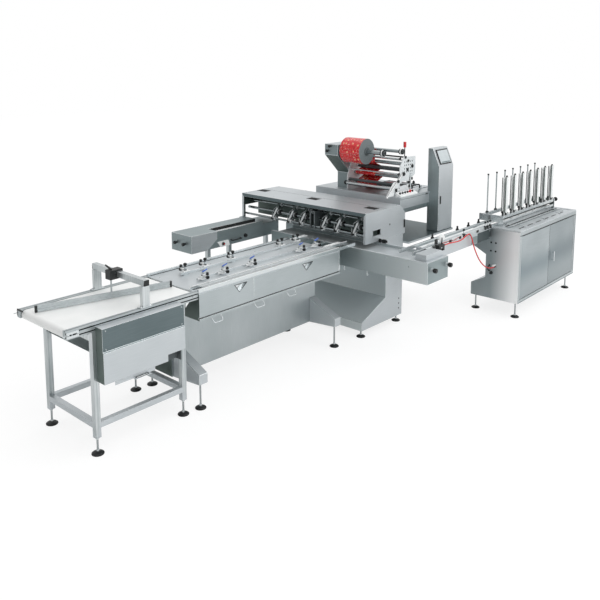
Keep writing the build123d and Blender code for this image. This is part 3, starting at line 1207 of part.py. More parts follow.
def dispenser():
    """Dispenser cabinet on feet, hollow behind its two hinged doors, with its counter."""
    wall = DISP_WALL
    x = (disp_left, disp_right)
    outline = [
        (DISP_NEAR, DISP_BOTTOM), (disp_foot_far, DISP_BOTTOM), (disp_foot_far, DISP_TOE_TOP),
        (disp_far, DISP_NOTCH[0]), (disp_far, DISP_TOP), (DISP_NEAR, DISP_TOP),
    ]
    room_x = (x[0] + wall, x[1] - wall)
    room_y = (DISP_NEAR + wall + DOOR_THICKNESS, disp_far - wall)
    door_x = (x[0] + DOOR_FRAME_SIDE, x[1] - DOOR_FRAME_SIDE)
    door_z = (DISP_BOTTOM + DOOR_FRAME_BOTTOM, DISP_TOP - DOOR_FRAME_TOP)
    cabinet = prism_yz(outline, x)
    cabinet -= block(room_x, room_y, (DISP_BOTTOM + wall, DISP_TOP - wall))
    cabinet -= block(door_x, (DISP_NEAR, room_y[0]), door_z)
    ear_top = DISP_TOP - DISP_EAR_GAP
    ear = [
        (disp_far, DISP_NOTCH[1]), (disp_foot_far, DISP_EAR_LOW), (disp_foot_far, ear_top),
        (disp_far, ear_top),
    ]
    cabinet += prism_yz(ear, (x[0], x[0] + wall))
    feet = []
    for foot_x in (x[0] + FOOT_INSET, x[1] - 3 * FOOT_INSET):
        for foot_y in (DISP_NEAR + FOOT_INSET, disp_foot_far - FOOT_INSET):
            feet.append(levelling_foot(foot_x, foot_y, DISP_BOTTOM))

    middle = sum(door_x) / 2
    half = DOOR_THICKNESS / 2
    doors = {}
    for name, hinge_x, free_x in (
        ("door_left", door_x[0] + DOOR_GAP + half, middle - DOOR_GAP / 2),
        ("door_right", door_x[1] - DOOR_GAP - half, middle + DOOR_GAP / 2),
    ):
        leaf, bores = door(hinge_x, free_x, door_z)
        cabinet -= bores
        doors[name] = leaf
    doors["door_right"] += door_pull(middle + PULL_OFFSET, sum(door_z) / 2 - PULL_DROP)

    counter = block(x, (DISP_NEAR, disp_far), (DISP_TOP, counter_top))
    counter -= block(
        (x[0] + COUNTER_RIM, x[1] - COUNTER_RIM), (DISP_NEAR + COUNTER_RIM, MAGAZINE_NEAR - COUNTER_RIM),
        (counter_top - COUNTER_RECESS, counter_top),
    )
    nodes = {"dispenser_cabinet": [cabinet], "dispenser_counter": [counter], "levelling_feet": feet}
    nodes.update({name: [leaf] for name, leaf in doors.items()})
    return nodes


def door(hinge_x, free_x, door_z):
    """One folded door leaf with a rounded hinge stile and two pins, and the bores that take the pins."""
    hinge_y = DISP_NEAR + DOOR_THICKNESS / 2
    x = sorted((hinge_x, free_x))
    z = (door_z[0] + DOOR_GAP, door_z[1] - DOOR_GAP)
    leaf = block(x, (DISP_NEAR, DISP_NEAR + DOOR_THICKNESS), z)
    leaf += bar((hinge_x, hinge_y, z[0]), (hinge_x, hinge_y, z[1]), DOOR_THICKNESS)
    pan_y = (DISP_NEAR + DOOR_SKIN, DISP_NEAR + DOOR_THICKNESS)
    leaf -= block((x[0] + DOOR_HEM, x[1] - DOOR_HEM), pan_y, (z[0] + DOOR_HEM, z[1] - DOOR_HEM))
    bores = []
    for frame_z, leaf_z, outward in ((door_z[0], z[0], -1), (door_z[1], z[1], 1)):
        tip = frame_z + outward * HINGE_PIN_LENGTH
        leaf += bar((hinge_x, hinge_y, leaf_z), (hinge_x, hinge_y, tip), HINGE_PIN)
        bore_end = tip + outward * FIT
        bores.append(bar((hinge_x, hinge_y, leaf_z), (hinge_x, hinge_y, bore_end), HINGE_PIN + 2 * PIN_FIT))
    return leaf, bores


def door_pull(x, z):
    """The upright bar handle of the doors, on two short studs."""
    y = DISP_NEAR - PULL_REACH
    ends = around(z, PULL_LENGTH)
    pull = bar((x, y, ends[0]), (x, y, ends[1]), PULL_DIAMETER, MEDIUM_SIDES)
    for stud_z in (ends[0] + PULL_DIAMETER, ends[1] - PULL_DIAMETER):
        pull += bar((x, y, stud_z), (x, DISP_NEAR, stud_z), PULL_STUD, COARSE_SIDES)
    return pull


def magazine():
    """Row of tall curved tray guides on long bars between end plates, on the dispenser's counter."""
    bar_z = (MAGAZINE_BAR_TOP - MAGAZINE_BAR[1], MAGAZINE_BAR_TOP)
    near_y = (MAGAZINE_NEAR, MAGAZINE_NEAR + MAGAZINE_BAR[0])
    far_y = (MAGAZINE_FAR, MAGAZINE_FAR + MAGAZINE_BAR[0])
    frame = block(magazine_x, near_y, bar_z) + block(magazine_x, far_y, bar_z)
    low_depth, low_height, low_top = MAGAZINE_LOW_BAR
    frame += block(magazine_x, (MAGAZINE_NEAR, MAGAZINE_NEAR + low_depth), (low_top - low_height, low_top))
    rails_y = (TRAY_NEAR - RUN, TRAY_FAR + RUN)
    for edge in (magazine_x[0] - MAGAZINE_PLATE, magazine_x[1]):
        x = (edge, edge + MAGAZINE_PLATE)
        plate = block(x, (MAGAZINE_NEAR - RUN, disp_far), (counter_top, MAGAZINE_BAR_TOP))
        plate += block(x, (disp_far, far_y[1] + MAGAZINE_REACH), (TRAY_TOP + RUN, MAGAZINE_BAR_TOP))
        frame += plate - block(x, rails_y, (counter_top, TRAY_TOP + RUN))

    guide_y = sum(near_y) / 2
    rod_y = sum(far_y) / 2
    guides = []
    rods = []
    for index in range(GUIDE_COUNT):
        x = magazine_first + index * MAGAZINE_PITCH
        guides.append(tray_guide(x, guide_y))
        top = MAGAZINE_BAR_TOP + TRAY_GUIDE_HEIGHT
        rod = bar((x, rod_y, MAGAZINE_BAR_TOP), (x, rod_y, top), GUIDE_ROD, COARSE_SIDES)
        rods.append(rod + bar((x, rod_y, top), (x, rod_y, top + ROD_CAP[1]), ROD_CAP[0], COARSE_SIDES))
    for x in (magazine_x[0] + MAGAZINE_END, magazine_x[1] - MAGAZINE_PITCH / 2):
        z = counter_top + STAY_DIAMETER / 2 + FIT
        stay_end = (x, MAGAZINE_NEAR + WALL, z)
        frame += bar((x, MAGAZINE_NEAR - STAY_REACH, z), stay_end, STAY_DIAMETER, COARSE_SIDES)
        clamp_y = (MAGAZINE_NEAR - RUN, MAGAZINE_NEAR + WALL)
        clamp_z = (z, low_top - low_height)
        frame += block(around(x, MAGAZINE_BAR[0]), clamp_y, clamp_z)
    wheel_x = magazine_x[1] + MAGAZINE_PLATE
    wheel_z = sum(bar_z) / 2
    hub_x = wheel_x + WHEEL_STEM[1]
    wheel = bar((wheel_x, guide_y, wheel_z), (hub_x, guide_y, wheel_z), WHEEL_STEM[0], COARSE_SIDES)
    rim = WHEEL_DIAMETER / 2
    levels = ((WHEEL_CROWN, 0), (rim, WHEEL_THICKNESS / 2), (WHEEL_CROWN, WHEEL_THICKNESS))
    wheel += Plane(origin=(hub_x, guide_y, wheel_z), z_dir=(1, 0, 0)) * stepped(levels, MEDIUM_SIDES)
    return {
        "magazine_frame": [frame],
        "tray_guides": guides,
        "tray_guide_rods": rods,
        "clamping_knobs": [wheel],
    }


def tray_guide(x, y):
    """One tall guide: a half-round channel on a seat block."""
    outer = TRAY_GUIDE_WIDTH / 2
    channel = RegularPolygon(outer, GUIDE_SIDES) - RegularPolygon(outer - TRAY_GUIDE_THICKNESS, GUIDE_SIDES)
    channel -= Pos(0, outer) * Rectangle(2 * outer, 2 * outer)
    seat_length, seat_depth, seat_height = GUIDE_SEAT
    seat_top = MAGAZINE_BAR_TOP + seat_height
    seat = block(around(x, seat_length), around(y, seat_depth), (MAGAZINE_BAR_TOP, seat_top))
    return seat + Pos(x, y, seat_top) * extrude(channel, TRAY_GUIDE_HEIGHT - seat_height)


NODES = {}
for section in (
    infeed_table, gantry, belt_drive, feeder, lane_guides, cross_base, cross_housing, side_conveyor,
    wrapper, button_console, film_unwind, tray_conveyor, dispenser, magazine,
):
    for node, solids in section().items():
        NODES.setdefault(node, []).extend(solids)

limits = Compound(children=[Compound(children=list(solids)) for solids in NODES.values()]).bounding_box()
origin = Vector((limits.min.X + limits.max.X) / 2, (limits.min.Y + limits.max.Y) / 2, limits.min.Z)
print("datum shift", -origin.X, -origin.Y, -origin.Z)

os.makedirs("parts", exist_ok=True)
for node, solids in NODES.items():
    pieces = [solid for piece in solids for solid in piece.solids()]
    whole = pieces[0] if len(pieces) == 1 else Compound(pieces)
    whole.move(Pos(-origin.X, -origin.Y, -origin.Z))
    export_step(whole, f"parts/{node}.step")
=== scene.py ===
"""Looks of the tray loading line: finishes, small hardware, print, camera and studio light.

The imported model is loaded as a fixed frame. Places are millimetres of the line's own layout, whose
zero is the floor under the near leg at the infeed end; at() turns them to the frame's metres.
"""

from __future__ import annotations

import json
import logging
import math
from dataclasses import dataclass
from enum import Enum
from typing import Any, Callable, Iterable, Sequence

import bmesh
import bpy
from mathutils import Matrix, Vector

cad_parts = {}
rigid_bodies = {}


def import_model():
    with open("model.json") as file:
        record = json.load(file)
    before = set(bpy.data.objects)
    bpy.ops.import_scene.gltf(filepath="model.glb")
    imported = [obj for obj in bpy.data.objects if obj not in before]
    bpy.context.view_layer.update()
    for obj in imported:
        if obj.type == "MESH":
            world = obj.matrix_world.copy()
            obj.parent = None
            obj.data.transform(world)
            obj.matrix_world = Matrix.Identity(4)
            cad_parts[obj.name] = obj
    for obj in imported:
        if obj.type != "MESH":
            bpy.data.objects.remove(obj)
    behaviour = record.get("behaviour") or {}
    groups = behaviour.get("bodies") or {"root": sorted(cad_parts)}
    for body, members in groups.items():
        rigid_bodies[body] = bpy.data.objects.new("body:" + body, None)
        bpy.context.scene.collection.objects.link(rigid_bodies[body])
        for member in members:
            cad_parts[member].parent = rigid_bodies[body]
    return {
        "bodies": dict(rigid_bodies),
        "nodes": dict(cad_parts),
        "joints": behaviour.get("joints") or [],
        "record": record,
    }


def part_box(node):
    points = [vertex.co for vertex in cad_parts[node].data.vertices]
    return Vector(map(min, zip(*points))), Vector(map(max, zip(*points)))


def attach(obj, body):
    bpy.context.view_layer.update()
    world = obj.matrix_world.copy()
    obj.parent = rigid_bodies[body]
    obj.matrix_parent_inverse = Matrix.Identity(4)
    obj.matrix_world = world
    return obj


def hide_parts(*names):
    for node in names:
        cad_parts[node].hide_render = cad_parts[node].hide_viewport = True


LOG = logging.getLogger("tray_line")
MM = 0.001
LINE = "line"
DATUM = Vector((-2714.0, -280.0, 0.0))

# Ground lines are this many times as long as they are wide
GRAIN_STRETCH = 60
# Length in metres of one turn of Blender's wave texture at scale 1
WAVE_LENGTH = 0.314
# How far a finish's gloss goes under and over its roughness
GLOSS_UNDER = 0.06
GLOSS_OVER = 0.08
# A CAD mesh is merged at this distance in metres, and flattened under this angle in degrees, if its
# area changes by less than this share
MERGE = 0.00001
FLAT_ANGLE = 0.5
AREA_SLACK = 0.0005
# Rounded edges: their segments, and the angle in degrees over which an edge is rounded or stays sharp
ROUND_SEGMENTS = 2
SHARP_ANGLE = 38.0
# Names of the finishes that many pieces share
BRIGHT = "rolled_steel_bright"
BLACK = "black_polyamide"
WHITE = "white_polyamide"
PALE = "ground_steel_pale"
PAINTED_SHADE = "ground_steel_painted_shade"
DARK = "ground_steel_dark"
MIDDLE = "ground_steel_middle"
GAP = "black_gap"
INSIDE = "dark_inside"
CHROME = "hard_chrome"

Point = Sequence[float]
Choice = Callable[[Vector, Vector], int]


class Axis(Enum):
    """A direction of the frame, used for the grain of ground and drawn metal."""

    X = 0
    Y = 1
    Z = 2


def at(place: Point) -> Vector:
    """Turns a place of the layout in millimetres to the frame's metres."""
    return (Vector(place) + DATUM) * MM


def linear(colour: str, alpha: float = 1.0) -> tuple[float, float, float, float]:
    """Turns an sRGB hex colour to linear light.

    Args:
        colour: Six hex digits after a hash sign.
        alpha: Opacity of the result.

    Returns:
        Red, green, blue and alpha, as shader sockets take them.
    """
    values = [int(colour[place : place + 2], 16) / 255 for place in (1, 3, 5)]
    lit = [v / 12.92 if v <= 0.04045 else ((v + 0.055) / 1.055) ** 2.4 for v in values]
    return (lit[0], lit[1], lit[2], alpha)


def add_node(
    tree: bpy.types.NodeTree, kind: str, settings: dict | None = None, **links: Any
) -> bpy.types.Node:
    """Adds one node with its settings and links.

    Args:
        tree: The node tree that gets the node.
        kind: The node's type name.
        settings: Properties by name, and input values by the socket's name or number.
        links: Sockets to link, by input name with underscores for spaces, or "i0" for a number.

    Returns:
        The new node.
    """
    node = tree.nodes.new(kind)
    for key, value in (settings or {}).items():
        if isinstance(key, int) or key in node.inputs:
            node.inputs[key].default_value = value
        else:
            setattr(node, key, value)
    for key, socket in links.items():
        numbered = key[0] == "i" and key[1:].isdigit()
        target = node.inputs[int(key[1:])] if numbered else node.inputs[key.replace("_", " ")]
        tree.links.new(socket, target)
    return node


def new_material(name: str) -> tuple[bpy.types.Material, bpy.types.NodeTree, bpy.types.Node, Any]:
    """Makes a material with an empty node tree and a linked surface shader.

    Args:
        name: The material's name.

    Returns:
        The material, its tree, its shader node and the socket of Object coordinates.
    """
    material = bpy.data.materials.new(name)
    material.use_nodes = True
    tree = material.node_tree
    tree.nodes.clear()
    shader = add_node(tree, "ShaderNodeBsdfPrincipled")
    add_node(tree, "ShaderNodeOutputMaterial", Surface=shader.outputs["BSDF"])
    return material, tree, shader, add_node(tree, "ShaderNodeTexCoord").outputs["Object"]


def ramp(tree: bpy.types.NodeTree, factor: bpy.types.NodeSocket, stops: Sequence[tuple[float, str]]) -> Any:
    """Adds a colour ramp.

    Args:
        tree: The node tree that gets it.
        factor: The socket that drives it.
        stops: Pairs of place and hex colour.

    Returns:
        The ramp's colour socket.
    """
    node = add_node(tree, "ShaderNodeValToRGB", Fac=factor)
    elements = node.color_ramp.elements
    while len(elements) < len(stops):
        elements.new(0.5)
    for element, (place, colour) in zip(elements, stops):
        element.position = place
        element.color = linear(colour)
    return node.outputs["Color"]


@dataclass(frozen=True)
class GroundSteel:
    """Stainless steel ground with an abrasive belt, or drawn: fine lines along one axis.

    The lines scatter a reflection across themselves, so the eye sees soft streaks along the grain. A
    panel may be graded brighter or darker towards one side, as painted light and painted shade: fade names
    that axis, and the two places of the layout between which the finish goes over to the painted gradient
    colour. A band is a cloudy darker stripe across a tall panel, at a height of the layout: a painted
    reflection.
    """

    name: str
    colour: str = "#B9C0C2"
    shade: str = "#A3ACAE"
    grain: Axis = Axis.X
    roughness: float = 0.36
    metallic: float = 0.88
    line_mm: float = 2.5
    bump: float = 0.05
    fade: tuple[Axis, float, float] | None = None
    painted_gradient_colour: str = "#DDE0E2"
    band: tuple[float, float, str] | None = None

    def material(self) -> bpy.types.Material:
        """Builds the material; its lines are drawn coarser than real grit, or they wouldn't show.

        Returns:
            The new material.
        """
        material, tree, shader, place = new_material(self.name)
        stretch = [1 / (self.line_mm * MM)] * 3
        stretch[self.grain.value] /= GRAIN_STRETCH
        scaled = add_node(tree, "ShaderNodeMapping", {"Scale": stretch}, Vector=place).outputs["Vector"]
        lines = add_node(
            tree, "ShaderNodeTexNoise", {"Scale": 1.0, "Detail": 3.0, "Roughness": 0.6}, Vector=scaled
        )
        cloud = add_node(tree, "ShaderNodeTexNoise", {"Scale": 2.2, "Detail": 2.0}, Vector=place)
        half = add_node(tree, "ShaderNodeMath", {"operation": "MULTIPLY", 1: 0.5}, i0=cloud.outputs["Fac"])
        mixed = add_node(
            tree, "ShaderNodeMath", {"operation": "MULTIPLY_ADD", 1: 0.5}, i0=lines.outputs["Fac"],
            i2=half.outputs[0]
        )
        colour = ramp(tree, mixed.outputs[0], ((0.36, self.shade), (0.64, self.colour)))
        # Painted light and painted shade: the colour is graded over to the painted gradient colour along one
        # axis
        if self.fade:
            axis, start, end = self.fade
            first, last = ((place_mm + DATUM[axis.value]) * MM for place_mm in (start, end))
            parts = add_node(tree, "ShaderNodeSeparateXYZ", Vector=place)
            share = add_node(
                tree, "ShaderNodeMapRange", {"From Min": first, "From Max": last},
                Value=parts.outputs[axis.value]
            )
            blend = add_node(
                tree, "ShaderNodeMix", {"data_type": "RGBA", 7: linear(self.painted_gradient_colour)},
                i0=share.outputs["Result"], i6=colour,
            )
            colour = blend.outputs[2]
        # Painted reflection: a cloudy darker band across the panel
        if self.band:
            height, width, dark = self.band
            parts = add_node(tree, "ShaderNodeSeparateXYZ", Vector=place)
            lifted = add_node(
                tree, "ShaderNodeMath", {"operation": "SUBTRACT", 1: height * MM}, i0=parts.outputs[2]
            )
            wavy = add_node(
                tree, "ShaderNodeMath", {"operation": "MULTIPLY_ADD", 1: 0.1}, i0=cloud.outputs["Fac"],
                i2=lifted.outputs[0],
            )
            off = add_node(tree, "ShaderNodeMath", {"operation": "ABSOLUTE"}, i0=wavy.outputs[0])
            share = add_node(
                tree, "ShaderNodeMapRange",
                {"interpolation_type": "SMOOTHSTEP", "From Max": width * MM, "To Min": 1.0, "To Max": 0.0},
                Value=off.outputs[0],
            )
            blend = add_node(
                tree, "ShaderNodeMix", {"data_type": "RGBA", 7: linear(dark)}, i0=share.outputs["Result"],
                i6=colour,
            )
            colour = blend.outputs[2]
        tree.links.new(colour, shader.inputs["Base Color"])
        rough = add_node(
            tree, "ShaderNodeMapRange",
            {"To Min": self.roughness - GLOSS_UNDER, "To Max": self.roughness + GLOSS_OVER},
            Value=lines.outputs["Fac"],
        )
        tree.links.new(rough.outputs["Result"], shader.inputs["Roughness"])
        shader.inputs["Metallic"].default_value = self.metallic
        bump = add_node(
            tree, "ShaderNodeBump", {"Strength": self.bump, "Distance": 0.001}, Height=lines.outputs["Fac"]
        )
        tree.links.new(bump.outputs["Normal"], shader.inputs["Normal"])
        return material


@dataclass(frozen=True)
class ThreadedSteel:
    """Zinc-plated steel with a rolled thread: a painted highlight on the crests and painted shade in the
    roots, round the rod.
    """

    name: str
    pitch_mm: float = 6.0

    def material(self) -> bpy.types.Material:
        """Builds the material; the thread's pitch is drawn coarse enough to show.

        Returns:
            The new material.
        """
        material, tree, shader, place = new_material(self.name)
        turns = add_node(
            tree, "ShaderNodeTexWave",
            {"Scale": WAVE_LENGTH / (self.pitch_mm * MM), "bands_direction": "Z"}, Vector=place
        )
        colour = ramp(tree, turns.outputs["Fac"], ((0.2, "#6E777A"), (0.8, "#DDE1E2")))
        tree.links.new(colour, shader.inputs["Base Color"])
        shader.inputs["Metallic"].default_value = 0.95
        shader.inputs["Roughness"].default_value = 0.3
        bump = add_node(
            tree, "ShaderNodeBump", {"Strength": 0.5, "Distance": 0.001}, Height=turns.outputs["Fac"]
        )
        tree.links.new(bump.outputs["Normal"], shader.inputs["Normal"])
        return material


@dataclass(frozen=True)
class Moulded:
    """Moulded plastic, rubber or sprayed metal: one colour with a fine even texture."""

    name: str
    colour: str
    light: str
    roughness: float = 0.45
    metallic: float = 0.0
    texture_mm: float = 3.0
    bump: float = 0.12
    coat: float = 0.0

    def material(self) -> bpy.types.Material:
        """Builds the material, with a noise of the texture's size in colour, gloss and relief.

        Returns:
            The new material.
        """
        material, tree, shader, place = new_material(self.name)
        grain = add_node(
            tree, "ShaderNodeTexNoise", {"Scale": 1 / (self.texture_mm * MM), "Detail": 2.0}, Vector=place
        )
        cloud = add_node(tree, "ShaderNodeTexNoise", {"Scale": 6.0, "Detail": 3.0}, Vector=place)
        colour = ramp(tree, cloud.outputs["Fac"], ((0.3, self.colour), (0.7, self.light)))
        tree.links.new(colour, shader.inputs["Base Color"])
        rough = add_node(
            tree, "ShaderNodeMapRange",
            {"To Min": self.roughness - GLOSS_UNDER, "To Max": self.roughness + GLOSS_OVER},
            Value=grain.outputs["Fac"],
        )
        tree.links.new(rough.outputs["Result"], shader.inputs["Roughness"])
        shader.inputs["Metallic"].default_value = self.metallic
        shader.inputs["Coat Weight"].default_value = self.coat
        bump = add_node(
            tree, "ShaderNodeBump", {"Strength": self.bump, "Distance": 0.0004}, Height=grain.outputs["Fac"]
        )
        tree.links.new(bump.outputs["Normal"], shader.inputs["Normal"])
        return material


@dataclass(frozen=True)
class ClearSheet:
    """Clear rigid vinyl sheet: almost no colour, with a sharp gloss on its faces."""

    name: str
    tint: str = "#EEF3F4"
    opacity: float = 0.28

    def material(self) -> bpy.types.Material:
        """Builds the material; faint rub marks vary its gloss.

        Returns:
            The new material.
        """
        material, tree, shader, place = new_material(self.name)
        marks = add_node(tree, "ShaderNodeTexNoise", {"Scale": 40.0, "Detail": 4.0}, Vector=place)
        rough = add_node(
            tree, "ShaderNodeMapRange", {"To Min": 0.06, "To Max": 0.2}, Value=marks.outputs["Fac"]
        )
        tree.links.new(rough.outputs["Result"], shader.inputs["Roughness"])
        shader.inputs["Base Color"].default_value = linear(self.tint)
        shader.inputs["Alpha"].default_value = self.opacity
        return material


@dataclass(frozen=True)
class PrintedFilm:
    """Printed polypropylene film: a red ground with small white and yellow shapes in a clear gloss."""

    name: str
    ground: str = "#EE1820"
    deep: str = "#C9101A"
    pale: str = "#F4EDE2"
    warm: str = "#EFAE35"
    repeat_mm: float = 38.0
    small_mm: float = 15.0

    def material(self) -> bpy.types.Material:
        """Builds the material from large and small cells of a made-up print.

        Returns:
            The new material.
        """
        material, tree, shader, place = new_material(self.name)
        large, small = (
            add_node(
                tree, "ShaderNodeTexVoronoi", {"Scale": 1 / (size * MM), "Randomness": 0.6}, Vector=place
            )
            for size in (self.repeat_mm, self.small_mm)
        )
        shapes = ramp(
            tree, large.outputs["Distance"],
            ((0.0, self.warm), (0.17, self.warm), (0.2, self.pale), (0.27, self.ground), (0.75, self.deep)),
        )
        dots = ramp(tree, small.outputs["Distance"], ((0.15, "#FFFFFF"), (0.22, "#000000")))
        blend = add_node(
            tree, "ShaderNodeMix", {"data_type": "RGBA", 7: linear(self.pale)}, i0=dots, i6=shapes
        )
        tree.links.new(blend.outputs[2], shader.inputs["Base Color"])
        shader.inputs["Roughness"].default_value = 0.25
        shader.inputs["Coat Weight"].default_value = 0.4
        return material


@dataclass(frozen=True)
class WoundEdge:
    """The cut edge of tightly wound film: dull grey with fine rings round the core."""

    name: str
    centre: tuple[float, float, float]
    ring_mm: float = 9.0

    def material(self) -> bpy.types.Material:
        """Builds the material, with rings drawn wider than single layers of film.

        Returns:
            The new material.
        """
        material, tree, shader, place = new_material(self.name)
        moved = add_node(
            tree, "ShaderNodeMapping", {"Location": -at(self.centre)}, Vector=place
        ).outputs["Vector"]
        rings = add_node(
            tree, "ShaderNodeTexWave",
            {"Scale": WAVE_LENGTH / (self.ring_mm * MM), "Distortion": 0.6, "wave_type": "RINGS",
            "rings_direction": "Y"},
            Vector=moved,
        )
        colour = ramp(tree, rings.outputs["Fac"], ((0.1, "#5D6567"), (0.9, "#7C8486")))
        tree.links.new(colour, shader.inputs["Base Color"])
        shader.inputs["Roughness"].default_value = 0.55
        return material


class Shop:
    """All finishes of the line, each built once and looked up by name."""

    FINISHES = (
        # Ground stainless sheet: soft streaks along the grain. The dark, middle and shade sheets are this
        # sheet made darker, and mostly go on faces that turn from the light: painted shade. The trough, base,
        # column, side and door sheets are
        # graded across their panels: painted light and painted shade
        GroundSteel("ground_steel_panel", "#BFC6C8", "#ABB3B5"),
        GroundSteel("ground_steel_upright", "#BFC5C7", "#ABB3B5", grain=Axis.Z),
        GroundSteel("ground_steel_dark", "#6F7C7F", "#5F6C6F", roughness=0.42, metallic=0.75),
        GroundSteel("ground_steel_painted_shade", "#66736F", "#57635F", roughness=0.45, metallic=0.6),
        GroundSteel("ground_steel_middle", "#9AA6A8", "#8A9698", roughness=0.42, metallic=0.7),
        GroundSteel(
            "ground_steel_trough", "#8C999B", "#7C898B", Axis.Y, 0.4, 0.7, fade=(Axis.Y, 200.0, -830.0),
            painted_gradient_colour="#DCE2E3"
        ),
        GroundSteel(
            "ground_steel_base", "#C6D1D4", "#B8C3C6", Axis.Z, 0.4, 0.5, fade=(Axis.Z, 640.0, 100.0),
            painted_gradient_colour="#D3DADB"
        ),
        GroundSteel(
            "ground_steel_column", "#A0ADAF", "#929FA1", Axis.Z, 0.4, 0.7, fade=(Axis.Z, 1670.0, 810.0),
            painted_gradient_colour="#A5B0B2"
        ),
        # The side sheet goes over to white towards the near edge: a painted highlight
        GroundSteel(
            "ground_steel_side", "#A2ABAD", "#949DA0", Axis.Z, 0.38, 0.7, fade=(Axis.Y, -640.0, -890.0),
            painted_gradient_colour="#FFFFFF"
        ),
        # The doors' sheets are darker towards the bottom, painted shade, with a darker band, a painted
        # reflection; the far door's sheet is darker than the near door's: painted shade
        GroundSteel(
            "ground_steel_door", "#B6BEC1", "#A3ABAE", Axis.X, 0.3, 0.85, line_mm=3.0,
            fade=(Axis.Z, 480.0, 200.0),
            painted_gradient_colour="#A6AEB1", band=(520.0, 190.0, "#89959A"),
        ),
        GroundSteel(
            "ground_steel_door_far", "#A3ACAF", "#929B9F", Axis.X, 0.3, 0.85, line_mm=3.0,
            fade=(Axis.Z, 480.0, 200.0), painted_gradient_colour="#949DA0", band=(560.0, 210.0, "#7B878C"),
        ),
        GroundSteel("ground_steel_pale", "#CED3D6", "#BFC5C8", roughness=0.42, metallic=0.65),
        GroundSteel("satin_nickel_plate", "#F4F7F8", "#DFE5E7", roughness=0.36, metallic=0.25),
        # Rolled and drawn stock, hard chrome and anodised bar: tighter, brighter reflections with finer lines
        GroundSteel("rolled_steel_bright", "#E2E6E7", "#CFD5D7", roughness=0.2, metallic=0.92, bump=0.02),
        GroundSteel("tube_steel", "#DCE0E1", "#A5AEB0", grain=Axis.Z, roughness=0.3, line_mm=9.0),
        GroundSteel("anodised_aluminium", "#C4CACC", "#9EA7A9", roughness=0.36, metallic=0.8, line_mm=5.0),
        GroundSteel(
            "hard_chrome", "#BFC6C8", "#8D9799", grain=Axis.Y, roughness=0.16, line_mm=5.0, bump=0.01
        ),
        ThreadedSteel("threaded_zinc_steel"),
        # Castings, moulded plastic, rubber and belt: one even colour with a soft gloss
        Moulded("cast_grey", "#4A5153", "#5A6163", roughness=0.55, texture_mm=6.0, bump=0.3),
        Moulded("belt_polyurethane", "#EEF0EF", "#F6F7F6", roughness=0.4, texture_mm=8.0, bump=0.04),
        Moulded("black_polyamide", "#0E1112", "#191D1E", roughness=0.42, texture_mm=2.0),
        Moulded("foot_rubber", "#0B0E0F", "#161B1C", roughness=0.5, texture_mm=4.0, bump=0.2),
        Moulded("blue_polyamide", "#1B4DA8", "#2C64C6", roughness=0.32, coat=0.3),
        Moulded("red_hose", "#C41A1C", "#DB3434", roughness=0.25, coat=0.4, texture_mm=5.0, bump=0.03),
        Moulded("red_button", "#C9151B", "#DB2A2F", roughness=0.25, coat=0.5),
        Moulded("white_polyamide", "#E9ECEC", "#F4F6F6", roughness=0.35),
        Moulded("screen_glass", "#B9C3C6", "#C9D1D3", roughness=0.12, coat=0.8, bump=0.0, texture_mm=20.0),
        # dark_inside and black_gap draw dark seams and sockets, and also stand in for the shade inside bays,
        # cabinets, slots, grooves, holes and recesses: painted shade there
        Moulded("dark_inside", "#343E40", "#424C4E", roughness=0.6),
        Moulded("black_gap", "#0C0F10", "#14181A", roughness=0.8),
        # Clear sheet and film: a sharp gloss over what lies under it
        ClearSheet("clear_vinyl"),
        PrintedFilm("printed_film"),
        WoundEdge("wound_film_edge", (3400.0, 500.0, 1650.0)),
    )

    def __init__(self) -> None:
        """Builds every finish."""
        self.made = {finish.name: finish.material() for finish in self.FINISHES}

    def __getitem__(self, name: str) -> bpy.types.Material:
        """The material of that name."""
        return self.made[name]


def place_object(name: str, data: bpy.types.ID) -> bpy.types.Object:
    """Puts new data in the scene, at the origin.

    Args:
        name: The object's name.
        data: Its mesh, curve, lamp or camera.

    Returns:
        The new object.
    """
    item = bpy.data.objects.new(name, data)
    bpy.context.scene.collection.objects.link(item)
    return item


def finish_edges(item: bpy.types.Object, bevel: float = 0.0, edge: int = -1) -> None:
    """Rounds an object's edges for good and shades it smooth between them.

    Args:
        item: The object.
        bevel: Width of the rounding in millimetres, or none.
        edge: Number of the finish of the rounded edges, or -1 for that of the faces beside them.
    """
    work = bmesh.new()
    work.from_mesh(item.data)
    for face in work.faces:
        face.smooth = True
    for side in work.edges:
        side.smooth = len(side.link_faces) == 2 and side.calc_face_angle(0) < math.radians(SHARP_ANGLE)
    work.to_mesh(item.data)
    work.free()
    if not bevel:
        return
    rounding = item.modifiers.new("rounding", "BEVEL")
    rounding.width = bevel * MM
    rounding.segments = ROUND_SEGMENTS
    rounding.material = edge
    rounding.limit_method = "ANGLE"
    rounding.angle_limit = math.radians(SHARP_ANGLE)
    rounding.harden_normals = True
    rounding.use_clamp_overlap = True
    shown = item.evaluated_get(bpy.context.evaluated_depsgraph_get())
    rounded = bpy.data.meshes.new_from_object(shown)
    item.modifiers.clear()
    item.data = rounded


